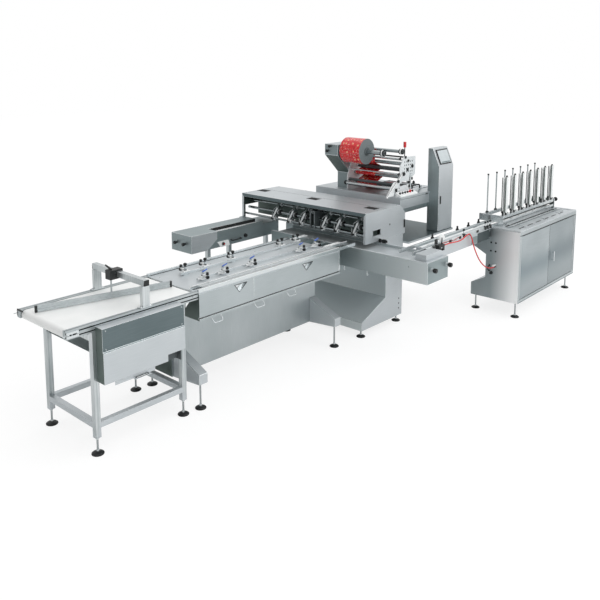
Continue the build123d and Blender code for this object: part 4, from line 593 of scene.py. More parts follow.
class Mesh:
    """Collects shapes in one mesh, each with its finish, and turns them into one piece."""

    def __init__(self, shop: Shop, *finishes: str) -> None:
        """Starts an empty mesh.

        Args:
            shop: The finishes.
            finishes: Names of the finishes that the shapes use, in the order of their numbers.
        """
        self.bm = bmesh.new()
        self.materials = [shop[name] for name in finishes]

    def box(self, x: Point, y: Point, z: Point, finish: int = 0) -> None:
        """Adds a rectangular block between pairs of limits.

        Args:
            x: Its limits along the line in layout millimetres.
            y: Its limits across the line.
            z: Its limits in height.
            finish: Number of the finish.
        """
        low, high = at((x[0], y[0], z[0])), at((x[1], y[1], z[1]))
        matrix = Matrix.Translation((low + high) / 2) @ Matrix.Diagonal((*(high - low), 1))
        self._paint(bmesh.ops.create_cube(self.bm, size=1, matrix=matrix)["verts"], finish)

    def rod(self, start: Point, end: Point, diameter: float, finish: int = 0, sides: int = 20,
            tip: float | None = None) -> None:
        """Adds a round bar, or a cone where tip gives the diameter at its end.

        Args:
            start: Middle of one end in layout millimetres.
            end: Middle of the other end.
            diameter: Diameter in millimetres.
            finish: Number of the finish.
            sides: Faces round it.
            tip: Diameter at the other end of a cone.
        """
        low, high = at(start), at(end)
        axis = high - low
        matrix = Matrix.Translation((low + high) / 2) @ axis.to_track_quat("Z", "Y").to_matrix().to_4x4()
        last = diameter if tip is None else tip
        made = bmesh.ops.create_cone(
            self.bm, cap_ends=True, segments=sides, radius1=diameter * MM / 2, radius2=last * MM / 2,
            depth=axis.length, matrix=matrix,
        )
        self._paint(made["verts"], finish)

    def turned(self, base: Point, axis: Point, outline: Sequence[tuple[float, float]], finish: int = 0,
               sides: int = 24, ends: int | None = None) -> None:
        """Adds a turned shape.

        Args:
            base: Where the shape stands.
            axis: Its direction.
            outline: Pairs of radius and height, from its foot to its top.
            finish: Number of the finish.
            sides: Faces round it.
            ends: Number of the finish of its two flat ends, if it is another one.
        """
        turn = Vector(axis).to_track_quat("Z", "Y").to_matrix().to_4x4()
        matrix = Matrix.Translation(at(base)) @ turn
        rings = []
        for radius, height in outline:
            angles = [2 * math.pi * index / sides for index in range(sides)]
            spots = [Vector((radius * math.cos(a), radius * math.sin(a), height)) * MM for a in angles]
            rings.append([self.bm.verts.new(matrix @ spot) for spot in spots])
        for low, high in zip(rings, rings[1:]):
            for index in range(sides):
                after = (index + 1) % sides
                self.bm.faces.new((low[index], low[after], high[after], high[index])).material_index = finish
        for ring in (list(reversed(rings[0])), rings[-1]):
            self.bm.faces.new(ring).material_index = finish if ends is None else ends

    def prism(self, outline: Iterable[Point], along: Point, finish: int = 0) -> None:
        """Adds an outline of layout points drawn out along a vector in millimetres.

        Args:
            outline: Corners of a flat face in layout millimetres.
            along: The vector that it is drawn out along.
            finish: Number of the finish.
        """
        points = [self.bm.verts.new(at(point)) for point in outline]
        made = bmesh.ops.extrude_face_region(self.bm, geom=[self.bm.faces.new(points)])
        moved = [item for item in made["geom"] if isinstance(item, bmesh.types.BMVert)]
        bmesh.ops.translate(self.bm, verts=moved, vec=Vector(along) * MM)
        self._paint(points + moved, finish)

    def _paint(self, verts: Iterable[bmesh.types.BMVert], finish: int) -> None:
        """Gives the faces of some vertices their finish."""
        for face in {face for vert in verts for face in vert.link_faces}:
            face.material_index = finish

    def piece(self, name: str, body: str = LINE, bevel: float = 0.0, replaces: Sequence[str] = ()) -> Any:
        """Finishes the mesh as one piece that rides on a body.

        Args:
            name: The piece's name.
            body: The body that carries it.
            bevel: Width of the rounding of its edges in millimetres.
            replaces: CAD nodes that the piece stands for.

        Returns:
            The new object.
        """
        bmesh.ops.recalc_face_normals(self.bm, faces=self.bm.faces)
        data = bpy.data.meshes.new(name)
        self.bm.to_mesh(data)
        self.bm.free()
        for material in self.materials:
            data.materials.append(material)
        item = place_object(name, data)
        finish_edges(item, bevel)
        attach(item, body)
        if replaces:
            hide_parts(*replaces)
        LOG.info("%s rides on %s with %d faces", name, body, len(item.data.polygons))
        return item


class Patterns:
    """Geometry Nodes trees that set heads, knobs and wires; each tree is built once."""

    SIZE = "NodeSocketFloat"
    NUMBER = "NodeSocketInt"
    FINISH = "NodeSocketMaterial"

    def __init__(self, shop: Shop) -> None:
        """Builds the three trees.

        Args:
            shop: The finishes.
        """
        self.shop = shop
        self.heads_tree = self._heads()
        self.knobs_tree = self._knobs()
        self.wires_tree = self._wires()

    def _start(self, name: str, inputs: dict[str, str]) -> tuple[bpy.types.NodeTree, Any]:
        """Starts a tree with its named inputs.

        Args:
            name: The tree's name.
            inputs: Socket types of its inputs by name.

        Returns:
            The tree and the sockets of its inputs.
        """
        tree = bpy.data.node_groups.new(name, "GeometryNodeTree")
        tree.interface.new_socket("Geometry", in_out="INPUT", socket_type="NodeSocketGeometry")
        for label, kind in inputs.items():
            tree.interface.new_socket(label, in_out="INPUT", socket_type=kind)
        tree.interface.new_socket("Geometry", in_out="OUTPUT", socket_type="NodeSocketGeometry")
        return tree, tree.nodes.new("NodeGroupInput").outputs

    def _end(self, tree: bpy.types.NodeTree, geometry: Any, finish: Any) -> None:
        """Ends a tree: its instances become real and get their finish.

        Args:
            tree: The tree.
            geometry: Socket of the instances.
            finish: Socket of their finish.
        """
        real = add_node(tree, "GeometryNodeRealizeInstances", Geometry=geometry)
        done = add_node(tree, "GeometryNodeSetMaterial", Geometry=real.outputs[0], Material=finish)
        add_node(tree, "NodeGroupOutput", Geometry=done.outputs[0])

    def _stand(self, tree: bpy.types.NodeTree, points: Any, unit: Any) -> Any:
        """Sets a unit on every point, turned to the point's facing attribute.

        Args:
            tree: The tree.
            points: Socket of the points.
            unit: Socket of the unit.

        Returns:
            Socket of the instances.
        """
        facing = add_node(
            tree, "GeometryNodeInputNamedAttribute", {"data_type": "FLOAT_VECTOR", "Name": "facing"}
        )
        turn = add_node(tree, "FunctionNodeAlignRotationToVector", {"axis": "Z"}, Vector=facing.outputs[0])
        return add_node(
            tree, "GeometryNodeInstanceOnPoints", Points=points, Instance=unit, Rotation=turn.outputs[0]
        ).outputs[0]

    def _scaled(self, tree: bpy.types.NodeTree, size: Any, share: float) -> Any:
        """A share of a size."""
        return add_node(tree, "ShaderNodeMath", {"operation": "MULTIPLY", 1: share}, i0=size).outputs[0]

    def _heads(self) -> bpy.types.NodeTree:
        """Low truncated cones: screw heads, sockets, plugs and dark holes.

        Returns:
            The tree.
        """
        tree, given = self._start(
            "heads_on_faces",
            {"Diameter": self.SIZE, "Height": self.SIZE, "Sides": self.NUMBER, "Finish": self.FINISH}
        )
        head = add_node(
            tree, "GeometryNodeMeshCone", Vertices=given["Sides"],
            Radius_Bottom=self._scaled(tree, given["Diameter"], 0.5),
            Radius_Top=self._scaled(tree, given["Diameter"], 0.38), Depth=given["Height"],
        )
        self._end(tree, self._stand(tree, given["Geometry"], head.outputs["Mesh"]), given["Finish"])
        return tree

    def _knobs(self) -> bpy.types.NodeTree:
        """Moulded clamping knobs: a neck, a grip and a ring of lobes round it.

        Returns:
            The tree.
        """
        tree, given = self._start(
            "knobs_on_faces",
            {"Diameter": self.SIZE, "Height": self.SIZE, "Lobes": self.NUMBER, "Finish": self.FINISH}
        )
        width, height = given["Diameter"], given["Height"]
        neck = add_node(
            tree, "GeometryNodeMeshCone", {"Vertices": 16}, Radius_Bottom=self._scaled(tree, width, 0.24),
            Radius_Top=self._scaled(tree, width, 0.3), Depth=self._scaled(tree, height, 0.55),
        )
        grip = add_node(
            tree, "GeometryNodeMeshCone", {"Vertices": 24}, Radius_Bottom=self._scaled(tree, width, 0.42),
            Radius_Top=self._scaled(tree, width, 0.34), Depth=self._scaled(tree, height, 0.55),
        )
        lobe = add_node(
            tree, "GeometryNodeMeshCone", {"Vertices": 8}, Radius_Bottom=self._scaled(tree, width, 0.11),
            Radius_Top=self._scaled(tree, width, 0.08), Depth=self._scaled(tree, height, 0.5),
        )
        ring = add_node(
            tree, "GeometryNodeMeshCircle", Vertices=given["Lobes"], Radius=self._scaled(tree, width, 0.38)
        )
        lobes = add_node(
            tree, "GeometryNodeInstanceOnPoints", Points=ring.outputs[0], Instance=lobe.outputs["Mesh"]
        )
        crown = add_node(tree, "GeometryNodeJoinGeometry")
        tree.links.new(grip.outputs["Mesh"], crown.inputs[0])
        tree.links.new(lobes.outputs[0], crown.inputs[0])
        lift = add_node(tree, "ShaderNodeCombineXYZ", Z=self._scaled(tree, height, 0.45))
        raised = add_node(
            tree, "GeometryNodeTransform", Geometry=crown.outputs[0], Translation=lift.outputs[0]
        )
        whole = add_node(tree, "GeometryNodeJoinGeometry")
        tree.links.new(neck.outputs["Mesh"], whole.inputs[0])
        tree.links.new(raised.outputs[0], whole.inputs[0])
        self._end(tree, self._stand(tree, given["Geometry"], whole.outputs[0]), given["Finish"])
        return tree

    def _wires(self) -> bpy.types.NodeTree:
        """Bent wire and bar: a round section along paths of straight runs with rounded bends.

        Returns:
            The tree.
        """
        tree, given = self._start(
            "wires_on_paths", {"Diameter": self.SIZE, "Bend": self.SIZE, "Finish": self.FINISH}
        )
        paths = add_node(tree, "GeometryNodeMeshToCurve", Mesh=given["Geometry"])
        bent = add_node(
            tree, "GeometryNodeFilletCurve", {"mode": "POLY", "Count": 5, "Limit Radius": True},
            Curve=paths.outputs[0], Radius=given["Bend"],
        )
        section = add_node(
            tree, "GeometryNodeCurvePrimitiveCircle", {"Resolution": 12},
            Radius=self._scaled(tree, given["Diameter"], 0.5)
        )
        wire = add_node(
            tree, "GeometryNodeCurveToMesh", {"Fill Caps": True},
            Curve=bent.outputs[0], Profile_Curve=section.outputs[0],
        )
        self._end(tree, wire.outputs[0], given["Finish"])
        return tree

    def _run(self, tree: bpy.types.NodeTree, data: bpy.types.Mesh, values: dict[str, Any]) -> bpy.types.Mesh:
        """Runs a tree on a mesh, and takes its result as a plain mesh.

        Args:
            tree: The tree.
            data: The mesh that the tree reads.
            values: Values of its inputs by name.

        Returns:
            The plain mesh.
        """
        item = place_object("pattern", data)
        modifier = item.modifiers.new("pattern", "NODES")
        modifier.node_group = tree
        for socket in tree.interface.items_tree:
            if socket.name in values:
                modifier[socket.identifier] = values[socket.name]
        made = bpy.data.meshes.new_from_object(item.evaluated_get(bpy.context.evaluated_depsgraph_get()))
        item.modifiers.clear()
        bpy.data.objects.remove(item)
        made.materials.clear()
        made.materials.append(values["Finish"])
        return made

    def _piece(self, name: str, meshes: Sequence[bpy.types.Mesh], body: str) -> bpy.types.Object:
        """Joins meshes, each with its one finish, into a piece that rides on a body.

        Args:
            name: The piece's name.
            meshes: Its meshes, each with one finish.
            body: The body that carries it.

        Returns:
            The new object.
        """
        work = bmesh.new()
        data = bpy.data.meshes.new(name)
        for index, mesh in enumerate(meshes):
            before = len(work.faces)
            work.from_mesh(mesh)
            work.faces.ensure_lookup_table()
            for face in work.faces[before:]:
                face.material_index = index
            data.materials.append(mesh.materials[0])
        work.to_mesh(data)
        work.free()
        item = place_object(name, data)
        finish_edges(item)
        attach(item, body)
        LOG.info("%s rides on %s with %d faces", name, body, len(data.polygons))
        return item

    def _points(self, spots: Sequence[tuple[Point, Point]]) -> bpy.types.Mesh:
        """A mesh of points, each with the direction that it faces.

        Args:
            spots: Pairs of place and facing direction.

        Returns:
            The mesh, with the facing attribute on its points.
        """
        data = bpy.data.meshes.new("spots")
        data.from_pydata([at(place) for place, _ in spots], [], [])
        facing = data.attributes.new("facing", "FLOAT_VECTOR", "POINT")
        for item, (_, way) in zip(facing.data, spots):
            item.vector = way
        return data

    def screws(self, name: str, spots: Sequence[tuple[Point, Point]], diameter: float = 12.0,
               body: str = LINE) -> None:
        """Sets button-head screws with dark hexagon sockets.

        Args:
            name: The piece's name.
            spots: Pairs of place and facing direction.
            diameter: Diameter of the heads in millimetres.
            body: The body that carries them.
        """
        heads = {
            "Diameter": diameter * MM, "Height": diameter * 0.35 * MM, "Sides": 16,
            "Finish": self.shop[BRIGHT]
        }
        holes = {
            "Diameter": diameter * 0.5 * MM, "Height": diameter * 0.37 * MM, "Sides": 6,
            "Finish": self.shop[GAP]
        }
        meshes = [self._run(self.heads_tree, self._points(spots), values) for values in (heads, holes)]
        self._piece(name, meshes, body)

    def holes(self, name: str, spots: Sequence[tuple[Point, Point]], diameter: float,
              finish: str = GAP, height: float = 1.0, body: str = LINE) -> None:
        """Sets round holes, plugs or discs that stand a little proud; a dark one stands in for the shade in a
        hole: painted shade.
        """
        values = {"Diameter": diameter * MM, "Height": height * MM, "Sides": 18, "Finish": self.shop[finish]}
        self._piece(name, [self._run(self.heads_tree, self._points(spots), values)], body)

    def knobs(self, name: str, spots: Sequence[tuple[Point, Point]], diameter: float, height: float,
              lobes: int = 8, finish: str = BLACK) -> bpy.types.Object:
        """Sets moulded clamping knobs and returns their piece.

        Args:
            name: The piece's name.
            spots: Pairs of place and facing direction.
            diameter: Diameter in millimetres.
            height: Height in millimetres.
            lobes: Lobes round the grip.
            finish: Name of the finish.

        Returns:
            The new object.
        """
        values = {
            "Diameter": diameter * MM, "Height": height * MM, "Lobes": lobes, "Finish": self.shop[finish]
        }
        return self._piece(name, [self._run(self.knobs_tree, self._points(spots), values)], LINE)

    def wires(self, name: str, paths: Sequence[Sequence[Point]], diameter: float, bend: float = 8.0,
              finish: str = BRIGHT, body: str = LINE) -> None:
        """Bends wires or bars along paths of places.

        Args:
            name: The piece's name.
            paths: Places along each wire.
            diameter: Diameter in millimetres.
            bend: Radius of the bends in millimetres.
            finish: Name of the finish.
            body: The body that carries it.
        """
        places, edges = [], []
        for path in paths:
            first = len(places)
            places.extend(at(place) for place in path)
            edges.extend((first + step, first + step + 1) for step in range(len(path) - 1))
        data = bpy.data.meshes.new(name)
        data.from_pydata(places, edges, [])
        values = {"Diameter": diameter * MM, "Bend": bend * MM, "Finish": self.shop[finish]}
        self._piece(name, [self._run(self.wires_tree, data, values)], body)


class Frame:
    """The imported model, and the ways in which its nodes get their looks."""

    def __init__(self, shop: Shop) -> None:
        """Loads the frame.

        Args:
            shop: The finishes.
        """
        self.shop = shop
        self.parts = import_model()
        self.body_of = {
            node: body for body,
            nodes in self.parts["record"]["behaviour"]["bodies"].items() for node in nodes
        }
        self.left = set(self.parts["nodes"])

    def _merged(self, node: str) -> bmesh.types.BMesh:
        """A merged copy of a node's mesh.

        Args:
            node: The node.

        Returns:
            The copy, to be freed.
        """
        work = bmesh.new()
        work.from_mesh(self.parts["nodes"][node].data)
        bmesh.ops.remove_doubles(work, verts=work.verts, dist=MERGE)
        return work

    def islands(self, node: str) -> list[tuple[Vector, Vector]]:
        """The lowest and highest corner of each separate solid of a node, in layout millimetres.

        Args:
            node: The node.

        Returns:
            A pair of corners for each solid.
        """
        work = self._merged(node)
        seen: set[bmesh.types.BMVert] = set()
        corners = []
        for vert in work.verts:
            if vert in seen:
                continue
            group, queue = [], [vert]
            seen.add(vert)
            while queue:
                spot = queue.pop()
                group.append(spot.co / MM - DATUM)
                fresh = {edge.other_vert(spot) for edge in spot.link_edges} - seen
                seen |= fresh
                queue.extend(fresh)
            low = Vector([min(point[axis] for point in group) for axis in range(3)])
            high = Vector([max(point[axis] for point in group) for axis in range(3)])
            corners.append((low, high))
        work.free()
        return corners

    def _flattened(self, node: str) -> bmesh.types.BMesh:
        """A merged copy of a node's mesh, whose flat faces are whole where that keeps its area.

        Args:
            node: The node.

        Returns:
            The copy, to be freed.
        """
        work = self._merged(node)
        area = sum(face.calc_area() for face in work.faces)
        whole = work.copy()
        bmesh.ops.dissolve_limit(
            whole, angle_limit=math.radians(FLAT_ANGLE), verts=whole.verts, edges=whole.edges
        )
        bmesh.ops.connect_verts_concave(whole, faces=whole.faces)
        trial = whole.copy()
        bmesh.ops.triangulate(trial, faces=trial.faces)
        kept = abs(sum(face.calc_area() for face in trial.faces) / area - 1) < AREA_SLACK
        trial.free()
        (work if kept else whole).free()
        return whole if kept else work

    def dress(self, node: str, *finishes: str, bevel: float = 0.0, edge: str | None = None,
              choose: Choice | None = None) -> None:
        """Replaces a CAD node by a copy of its mesh with rounded edges and its finishes.

        Args:
            node: The node.
            finishes: Names of its finishes.
            bevel: Width of the rounding of its edges in millimetres.
            edge: Finish of the rounded edges; a bright one is a painted highlight along them.
            choose: Gives the number of the finish from a face's middle in layout millimetres and its normal.
        """
        work = self._flattened(node)
        for face in work.faces:
            middle = face.calc_center_median() / MM - DATUM
            face.material_index = choose(middle, face.normal) if choose else 0
        name = f"{node}_dressed"
        data = bpy.data.meshes.new(name)
        work.to_mesh(data)
        work.free()
        # A bright edge finish is a painted highlight along the rounded edges
        for finish in (*finishes, edge) if edge else finishes:
            data.materials.append(self.shop[finish])
        item = place_object(name, data)
        finish_edges(item, bevel, len(finishes) if edge else -1)
        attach(item, self.body_of[node])
        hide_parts(node)
        self.left.discard(node)
        LOG.info("%s is dressed with %d faces", node, len(item.data.polygons))

    def dress_rest(self, plain: dict[str, str]) -> None:
        """Dresses every node that is left in the finish of its material slot.

        Args:
            plain: Names of finishes by material slot.
        """
        slots = {row["node"]: row["material_slot"] for row in self.parts["record"]["subparts"]}
        for node in sorted(self.left):
            self.dress(node, plain[slots[node]], bevel=0.8)


@dataclass
class Studio:
    """The camera of the photograph, a white floor, the lamps and the world."""

    place: tuple[float, float, float] = (-5.0104, -4.1095, 2.493)
    heading: float = 41.905
    pitch: float = 8.16
    focal_px: float = 702.2
    frame_px: float = 600.0
    sensor_mm: float = 36.0
    shift_y: float = -0.22
    floor_size: float = 60.0
    lamps: Sequence[tuple[tuple[float, float, float], float, float]] = (
        ((-1.5, -7.0, 4.5), 4.5, 120.0), ((3.0, -5.0, 7.0), 5.0, 110.0)
    )
    aim: tuple[float, float, float] = (0.5, 0.0, 0.6)
    far_clip: float = 100.0

    def build(self) -> None:
        """Sets up the whole studio."""
        self.camera()
        self.floor()
        self.light()

    def camera(self) -> None:
        """Sets the photograph's camera."""
        data = bpy.data.cameras.new("photograph_camera")
        data.sensor_width = self.sensor_mm
        data.lens = self.sensor_mm * self.focal_px / self.frame_px
        data.shift_y = self.shift_y
        data.clip_end = self.far_clip
        camera = place_object("photograph_camera", data)
        camera.location = self.place
        heading, pitch = math.radians(self.heading), math.radians(self.pitch)
        look = Vector(
            (math.cos(heading) * math.cos(pitch), math.sin(heading) * math.cos(pitch), -math.sin(pitch))
        )
        camera.rotation_mode = "QUATERNION"
        camera.rotation_quaternion = look.to_track_quat("-Z", "Y")
        bpy.context.scene.camera = camera

    def floor(self) -> None:
        """Lays the floor: it looks white to the camera and in reflections, and keeps the line's shadow."""
        half = self.floor_size / 2
        data = bpy.data.meshes.new("studio_floor")
        data.from_pydata(
            [(-half, -half, 0), (half, -half, 0), (half, half, 0), (-half, half, 0)], [], [(0, 1, 2, 3)]
        )
        material = bpy.data.materials.new("studio_paper")
        material.use_nodes = True
        tree = material.node_tree
        tree.nodes.clear()
        paper = add_node(tree, "ShaderNodeBsdfDiffuse", {"Color": linear("#F2F3F3")})
        shown = add_node(tree, "ShaderNodeBsdfDiffuse", {"Color": (0.26, 0.26, 0.26, 1)})
        glow = add_node(tree, "ShaderNodeEmission", {"Color": (1, 1, 1, 1), "Strength": 0.78})
        both = add_node(tree, "ShaderNodeAddShader", i0=shown.outputs[0], i1=glow.outputs[0])
        ray = add_node(tree, "ShaderNodeLightPath")
        seen = add_node(
            tree, "ShaderNodeMath", {"operation": "MAXIMUM"}, i0=ray.outputs["Is Camera Ray"],
            i1=ray.outputs["Is Transmission Ray"],
        )
        mixed = add_node(
            tree, "ShaderNodeMixShader", i0=seen.outputs[0], i1=paper.outputs[0], i2=both.outputs[0]
        )
        add_node(tree, "ShaderNodeOutputMaterial", Surface=mixed.outputs[0])
        data.materials.append(material)
        place_object("studio_floor", data)

    def light(self) -> None:
        """Hangs the lamps and lights the world, which is brighter in front and above than at the left."""
        for index, (place, size, power) in enumerate(self.lamps):
            data = bpy.data.lights.new(f"soft_box_{index}", "AREA")
            data.shape = "SQUARE"
            data.size = size
            data.energy = power
            lamp = place_object(data.name, data)
            lamp.location = place
            lamp.rotation_mode = "QUATERNION"
            lamp.rotation_quaternion = (Vector(self.aim) - Vector(place)).to_track_quat("-Z", "Y")
        world = bpy.data.worlds.new("studio_world")
        bpy.context.scene.world = world
        world.use_nodes = True
        tree = world.node_tree
        tree.nodes.clear()
        ray = add_node(tree, "ShaderNodeLightPath")
        way = add_node(tree, "ShaderNodeTexCoord").outputs["Generated"]
        split = add_node(tree, "ShaderNodeSeparateXYZ", Vector=way)
        side = add_node(
            tree, "ShaderNodeMapRange", {"From Min": -0.95, "From Max": 0.1, "To Min": 0.27, "To Max": 0.8},
            Value=split.outputs["X"],
        )
        above = add_node(
            tree, "ShaderNodeMapRange", {"From Min": 0.0, "From Max": 0.9, "To Min": 0.0, "To Max": 0.28},
            Value=split.outputs["Z"],
        )
        total = add_node(
            tree, "ShaderNodeMath", {"operation": "ADD"}, i0=side.outputs["Result"],
            i1=above.outputs["Result"]
        )
        shown = add_node(
            tree, "ShaderNodeMix", {"data_type": "FLOAT", 3: 1.0}, i0=ray.outputs["Is Camera Ray"],
            i2=total.outputs[0]
        )
        background = add_node(
            tree, "ShaderNodeBackground", {"Color": (1, 1, 1, 1)}, Strength=shown.outputs[0]
        )
        add_node(tree, "ShaderNodeOutputWorld", Surface=background.outputs["Background"])
        bpy.context.scene.view_settings.view_transform = "Standard"


@dataclass
class AirHose:
    """The red air hose from the valve on the tray conveyor down to the dispenser's side."""

    diameter: float = 0.012
    length: float = 1.19
    start_x: float = 3170.0
    near_y: float = -672.0
    route: Sequence[tuple[float, float, float]] = (
        (0.0, 0.0, 905.0), (110.0, 0.0, 905.0), (290.0, 6.0, 888.0), (420.0, 0.0, 925.0), (490.0, 0.0, 925.0),
        (560.0, 5.0, 765.0), (680.0, 12.0, 600.0), (860.0, 15.0, 492.0), (980.0, 15.0, 492.0),
    )

    def build(self, shop: Shop) -> None:
        """Lays the hose along its route, from the valve's fitting.

        Args:
            shop: The finishes.
        """
        points = [at((self.start_x + x, self.near_y - out, z)) for x, out, z in self.route]
        curve = bpy.data.curves.new("air_hose_line", "CURVE")
        curve.dimensions = "3D"
        curve.bevel_depth = self.diameter / 2
        curve.bevel_resolution = 5
        curve.resolution_u = 16
        curve.use_fill_caps = True
        spline = curve.splines.new("NURBS")
        spline.points.add(len(points) - 1)
        for point, place in zip(spline.points, points):
            point.co = (*place, 1)
        spline.order_u = 3
        spline.use_endpoint_u = True
        curve.materials.append(shop["red_hose"])
        hose = place_object("air_hose_line", curve)
        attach(hose, LINE)
        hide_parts("air_hose")


@dataclass
class LevellingFeet:
    """Dished rubber pads on threaded rods, with a nut at each end of a rod."""

    pad: Sequence[tuple[float, float]] = (
        (40.0, 0.0), (42.0, 2.0), (42.0, 7.0), (36.0, 12.0), (24.0, 17.0), (13.0, 20.0)
    )
    rod: float = 14.0
    nut: float = 24.0
    nut_height: float = 12.0
    pad_height: float = 20.0
    places: Sequence[tuple[float, float, float]] = (
        (0, 0, 115), (0, 585, 115), (705, 0, 115), (705, 585, 115), (850, 570, 176), (2410, 570, 176),
        (850, -20.3, 195.9), (2410, -20.3, 195.9), (2755, -60, 70), (2755, 1060, 70), (3330, -60, 70),
        (3330, 1060, 70), (2120, 1357.5, 115), (2400, 1357.5, 115), (2930, 1357.5, 115), (3454.3, 634, 70),
        (3454.3, 966, 70), (4131.3, 634, 70), (4131.3, 966, 70), (4210, -900, 151), (4210, -465, 151),
        (5500, -900, 151), (5500, -465, 151),
    )

    def build(self, shop: Shop) -> None:
        """Turns every pad, rod and nut.

        Args:
            shop: The finishes.
        """
        mesh = Mesh(shop, "foot_rubber", "threaded_zinc_steel", BRIGHT)
        up = (0, 0, 1)
        for x, y, top in self.places:
            mesh.turned((x, y, 0), up, self.pad)
            mesh.rod((x, y, self.pad_height), (x, y, top), self.rod, 1)
            for low in (self.pad_height, top - self.nut_height):
                mesh.rod((x, y, low), (x, y, low + self.nut_height), self.nut, 2, sides=6)
        mesh.piece("levelling_feet_turned", bevel=0.8, replaces=["levelling_feet"])


@dataclass
class InfeedTable:
    """The belt table at the infeed end: stand, belt, guard, gearmotor, gantry and divider."""

    slot_low: float = 843.0
    slot_high: float = 881.0
    band_break: float = 711.0
    near_rail: float = -26.0
    bolt: float = 16.0

    def build(self, shop: Shop, frame: Frame, patterns: Patterns) -> None:
        """Dresses the table and adds its hardware.

        Args:
            shop: The finishes.
            frame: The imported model.
            patterns: The trees for what repeats.
        """
        frame.dress(
            "infeed_stand", "tube_steel", MIDDLE, PALE, bevel=2.5,
            choose=lambda middle, way: int(679 < middle.z < 769.5) + 2 * int(130 < middle.z < 230),
        )
        frame.dress("infeed_rails", "anodised_aluminium", GAP, BRIGHT, bevel=1.5, choose=self.rail)
        frame.dress("infeed_belt", "belt_polyurethane")
        frame.dress("infeed_rollers", CHROME, bevel=0.8)
        frame.dress(
            "drive_guard", PALE, DARK, PAINTED_SHADE, bevel=3.5,
            edge=BRIGHT, choose=self.guard,
        )
        frame.dress("belt_gearmotor", "cast_grey", bevel=2.0)
        frame.dress("gantry", "tube_steel", BLACK, bevel=2.0, choose=self.caps)
        frame.dress(
            "gantry_clamp", BLACK, BRIGHT, bevel=2.0,
            choose=lambda middle, way: int(middle.z < 1027.6),
        )
        frame.dress("divider_guide", "anodised_aluminium", bevel=0.8)
        frame.dress("divider_caps", BLACK, bevel=1.0)
        self.hardware(shop, patterns)

    def rail(self, middle: Vector, way: Vector) -> int:
        """The slots in the rails are painted black, as painted shade, and the tensioner plates are bright."""
        deep = -19.5 < middle.y < -10 or 595 < middle.y < 604.5
        return int(deep and self.slot_low < middle.z < self.slot_high) if -20.1 <= middle.y <= 605.1 else 2

    def guard(self, middle: Vector, way: Vector) -> int:
        """The guard's upper band is dark, its lower band pale, and its left side gets painted shade."""
        return 2 if way.x < -0.5 else int(way.y < -0.5 and middle.z > self.band_break)

    def caps(self, middle: Vector, way: Vector) -> int:
        """Black end caps of the gantry's beam."""
        return int(middle.z > 1039 and (middle.y < -15.1 or middle.y > 600.1))

    def hardware(self, shop: Shop, patterns: Patterns) -> None:
        """Adds bolts, slots, brackets and base screws.

        Args:
            shop: The finishes.
            patterns: The trees for what repeats.
        """
        near, up = (0, -1, 0), (0, 0, 1)
        slots = Mesh(shop, GAP, BRIGHT, BLACK, WHITE)
        for x in (-188, -150):
            slots.box((x, x + 30), (-20.8, -20), (852, 872))
        slots.box((120, 160), (-30, -20), (826, 834), 1)
        slots.box((120, 128), (-30, -20), (800, 826), 1)
        slots.box((-197, -190), (532, 605), (882, 892), 2)
        slots.prism(((735, -16, 834), (735, -16, 800), (770, -16, 834)), (0, 4, 0), 3)
        slots.piece("table_slots_and_brackets", bevel=0.5)
        rim = (
            (243, -112, 470.5), (342, -112, 470.5), (342, -95, 470.5), (243, -95, 470.5), (243, -110, 470.5)
        )
        patterns.wires("guard_grip_rim", [rim], 4.0, 2.0, BLACK)
        bolts = [((x, self.near_rail, 862), near) for x in (-188, -122)]
        bolts += [((x, -20, 868), near) for x in (40, 300, 560, 800)]
        bolts += [((x, y, 896), up) for x in (366, 442) for y in (-4, 588)]
        patterns.screws("table_screws", bolts, self.bolt)
        edge = [((x, -98, z), near) for x in (28, 632) for z in (730, 852)]
        patterns.screws("guard_screws", edge, 11.0)


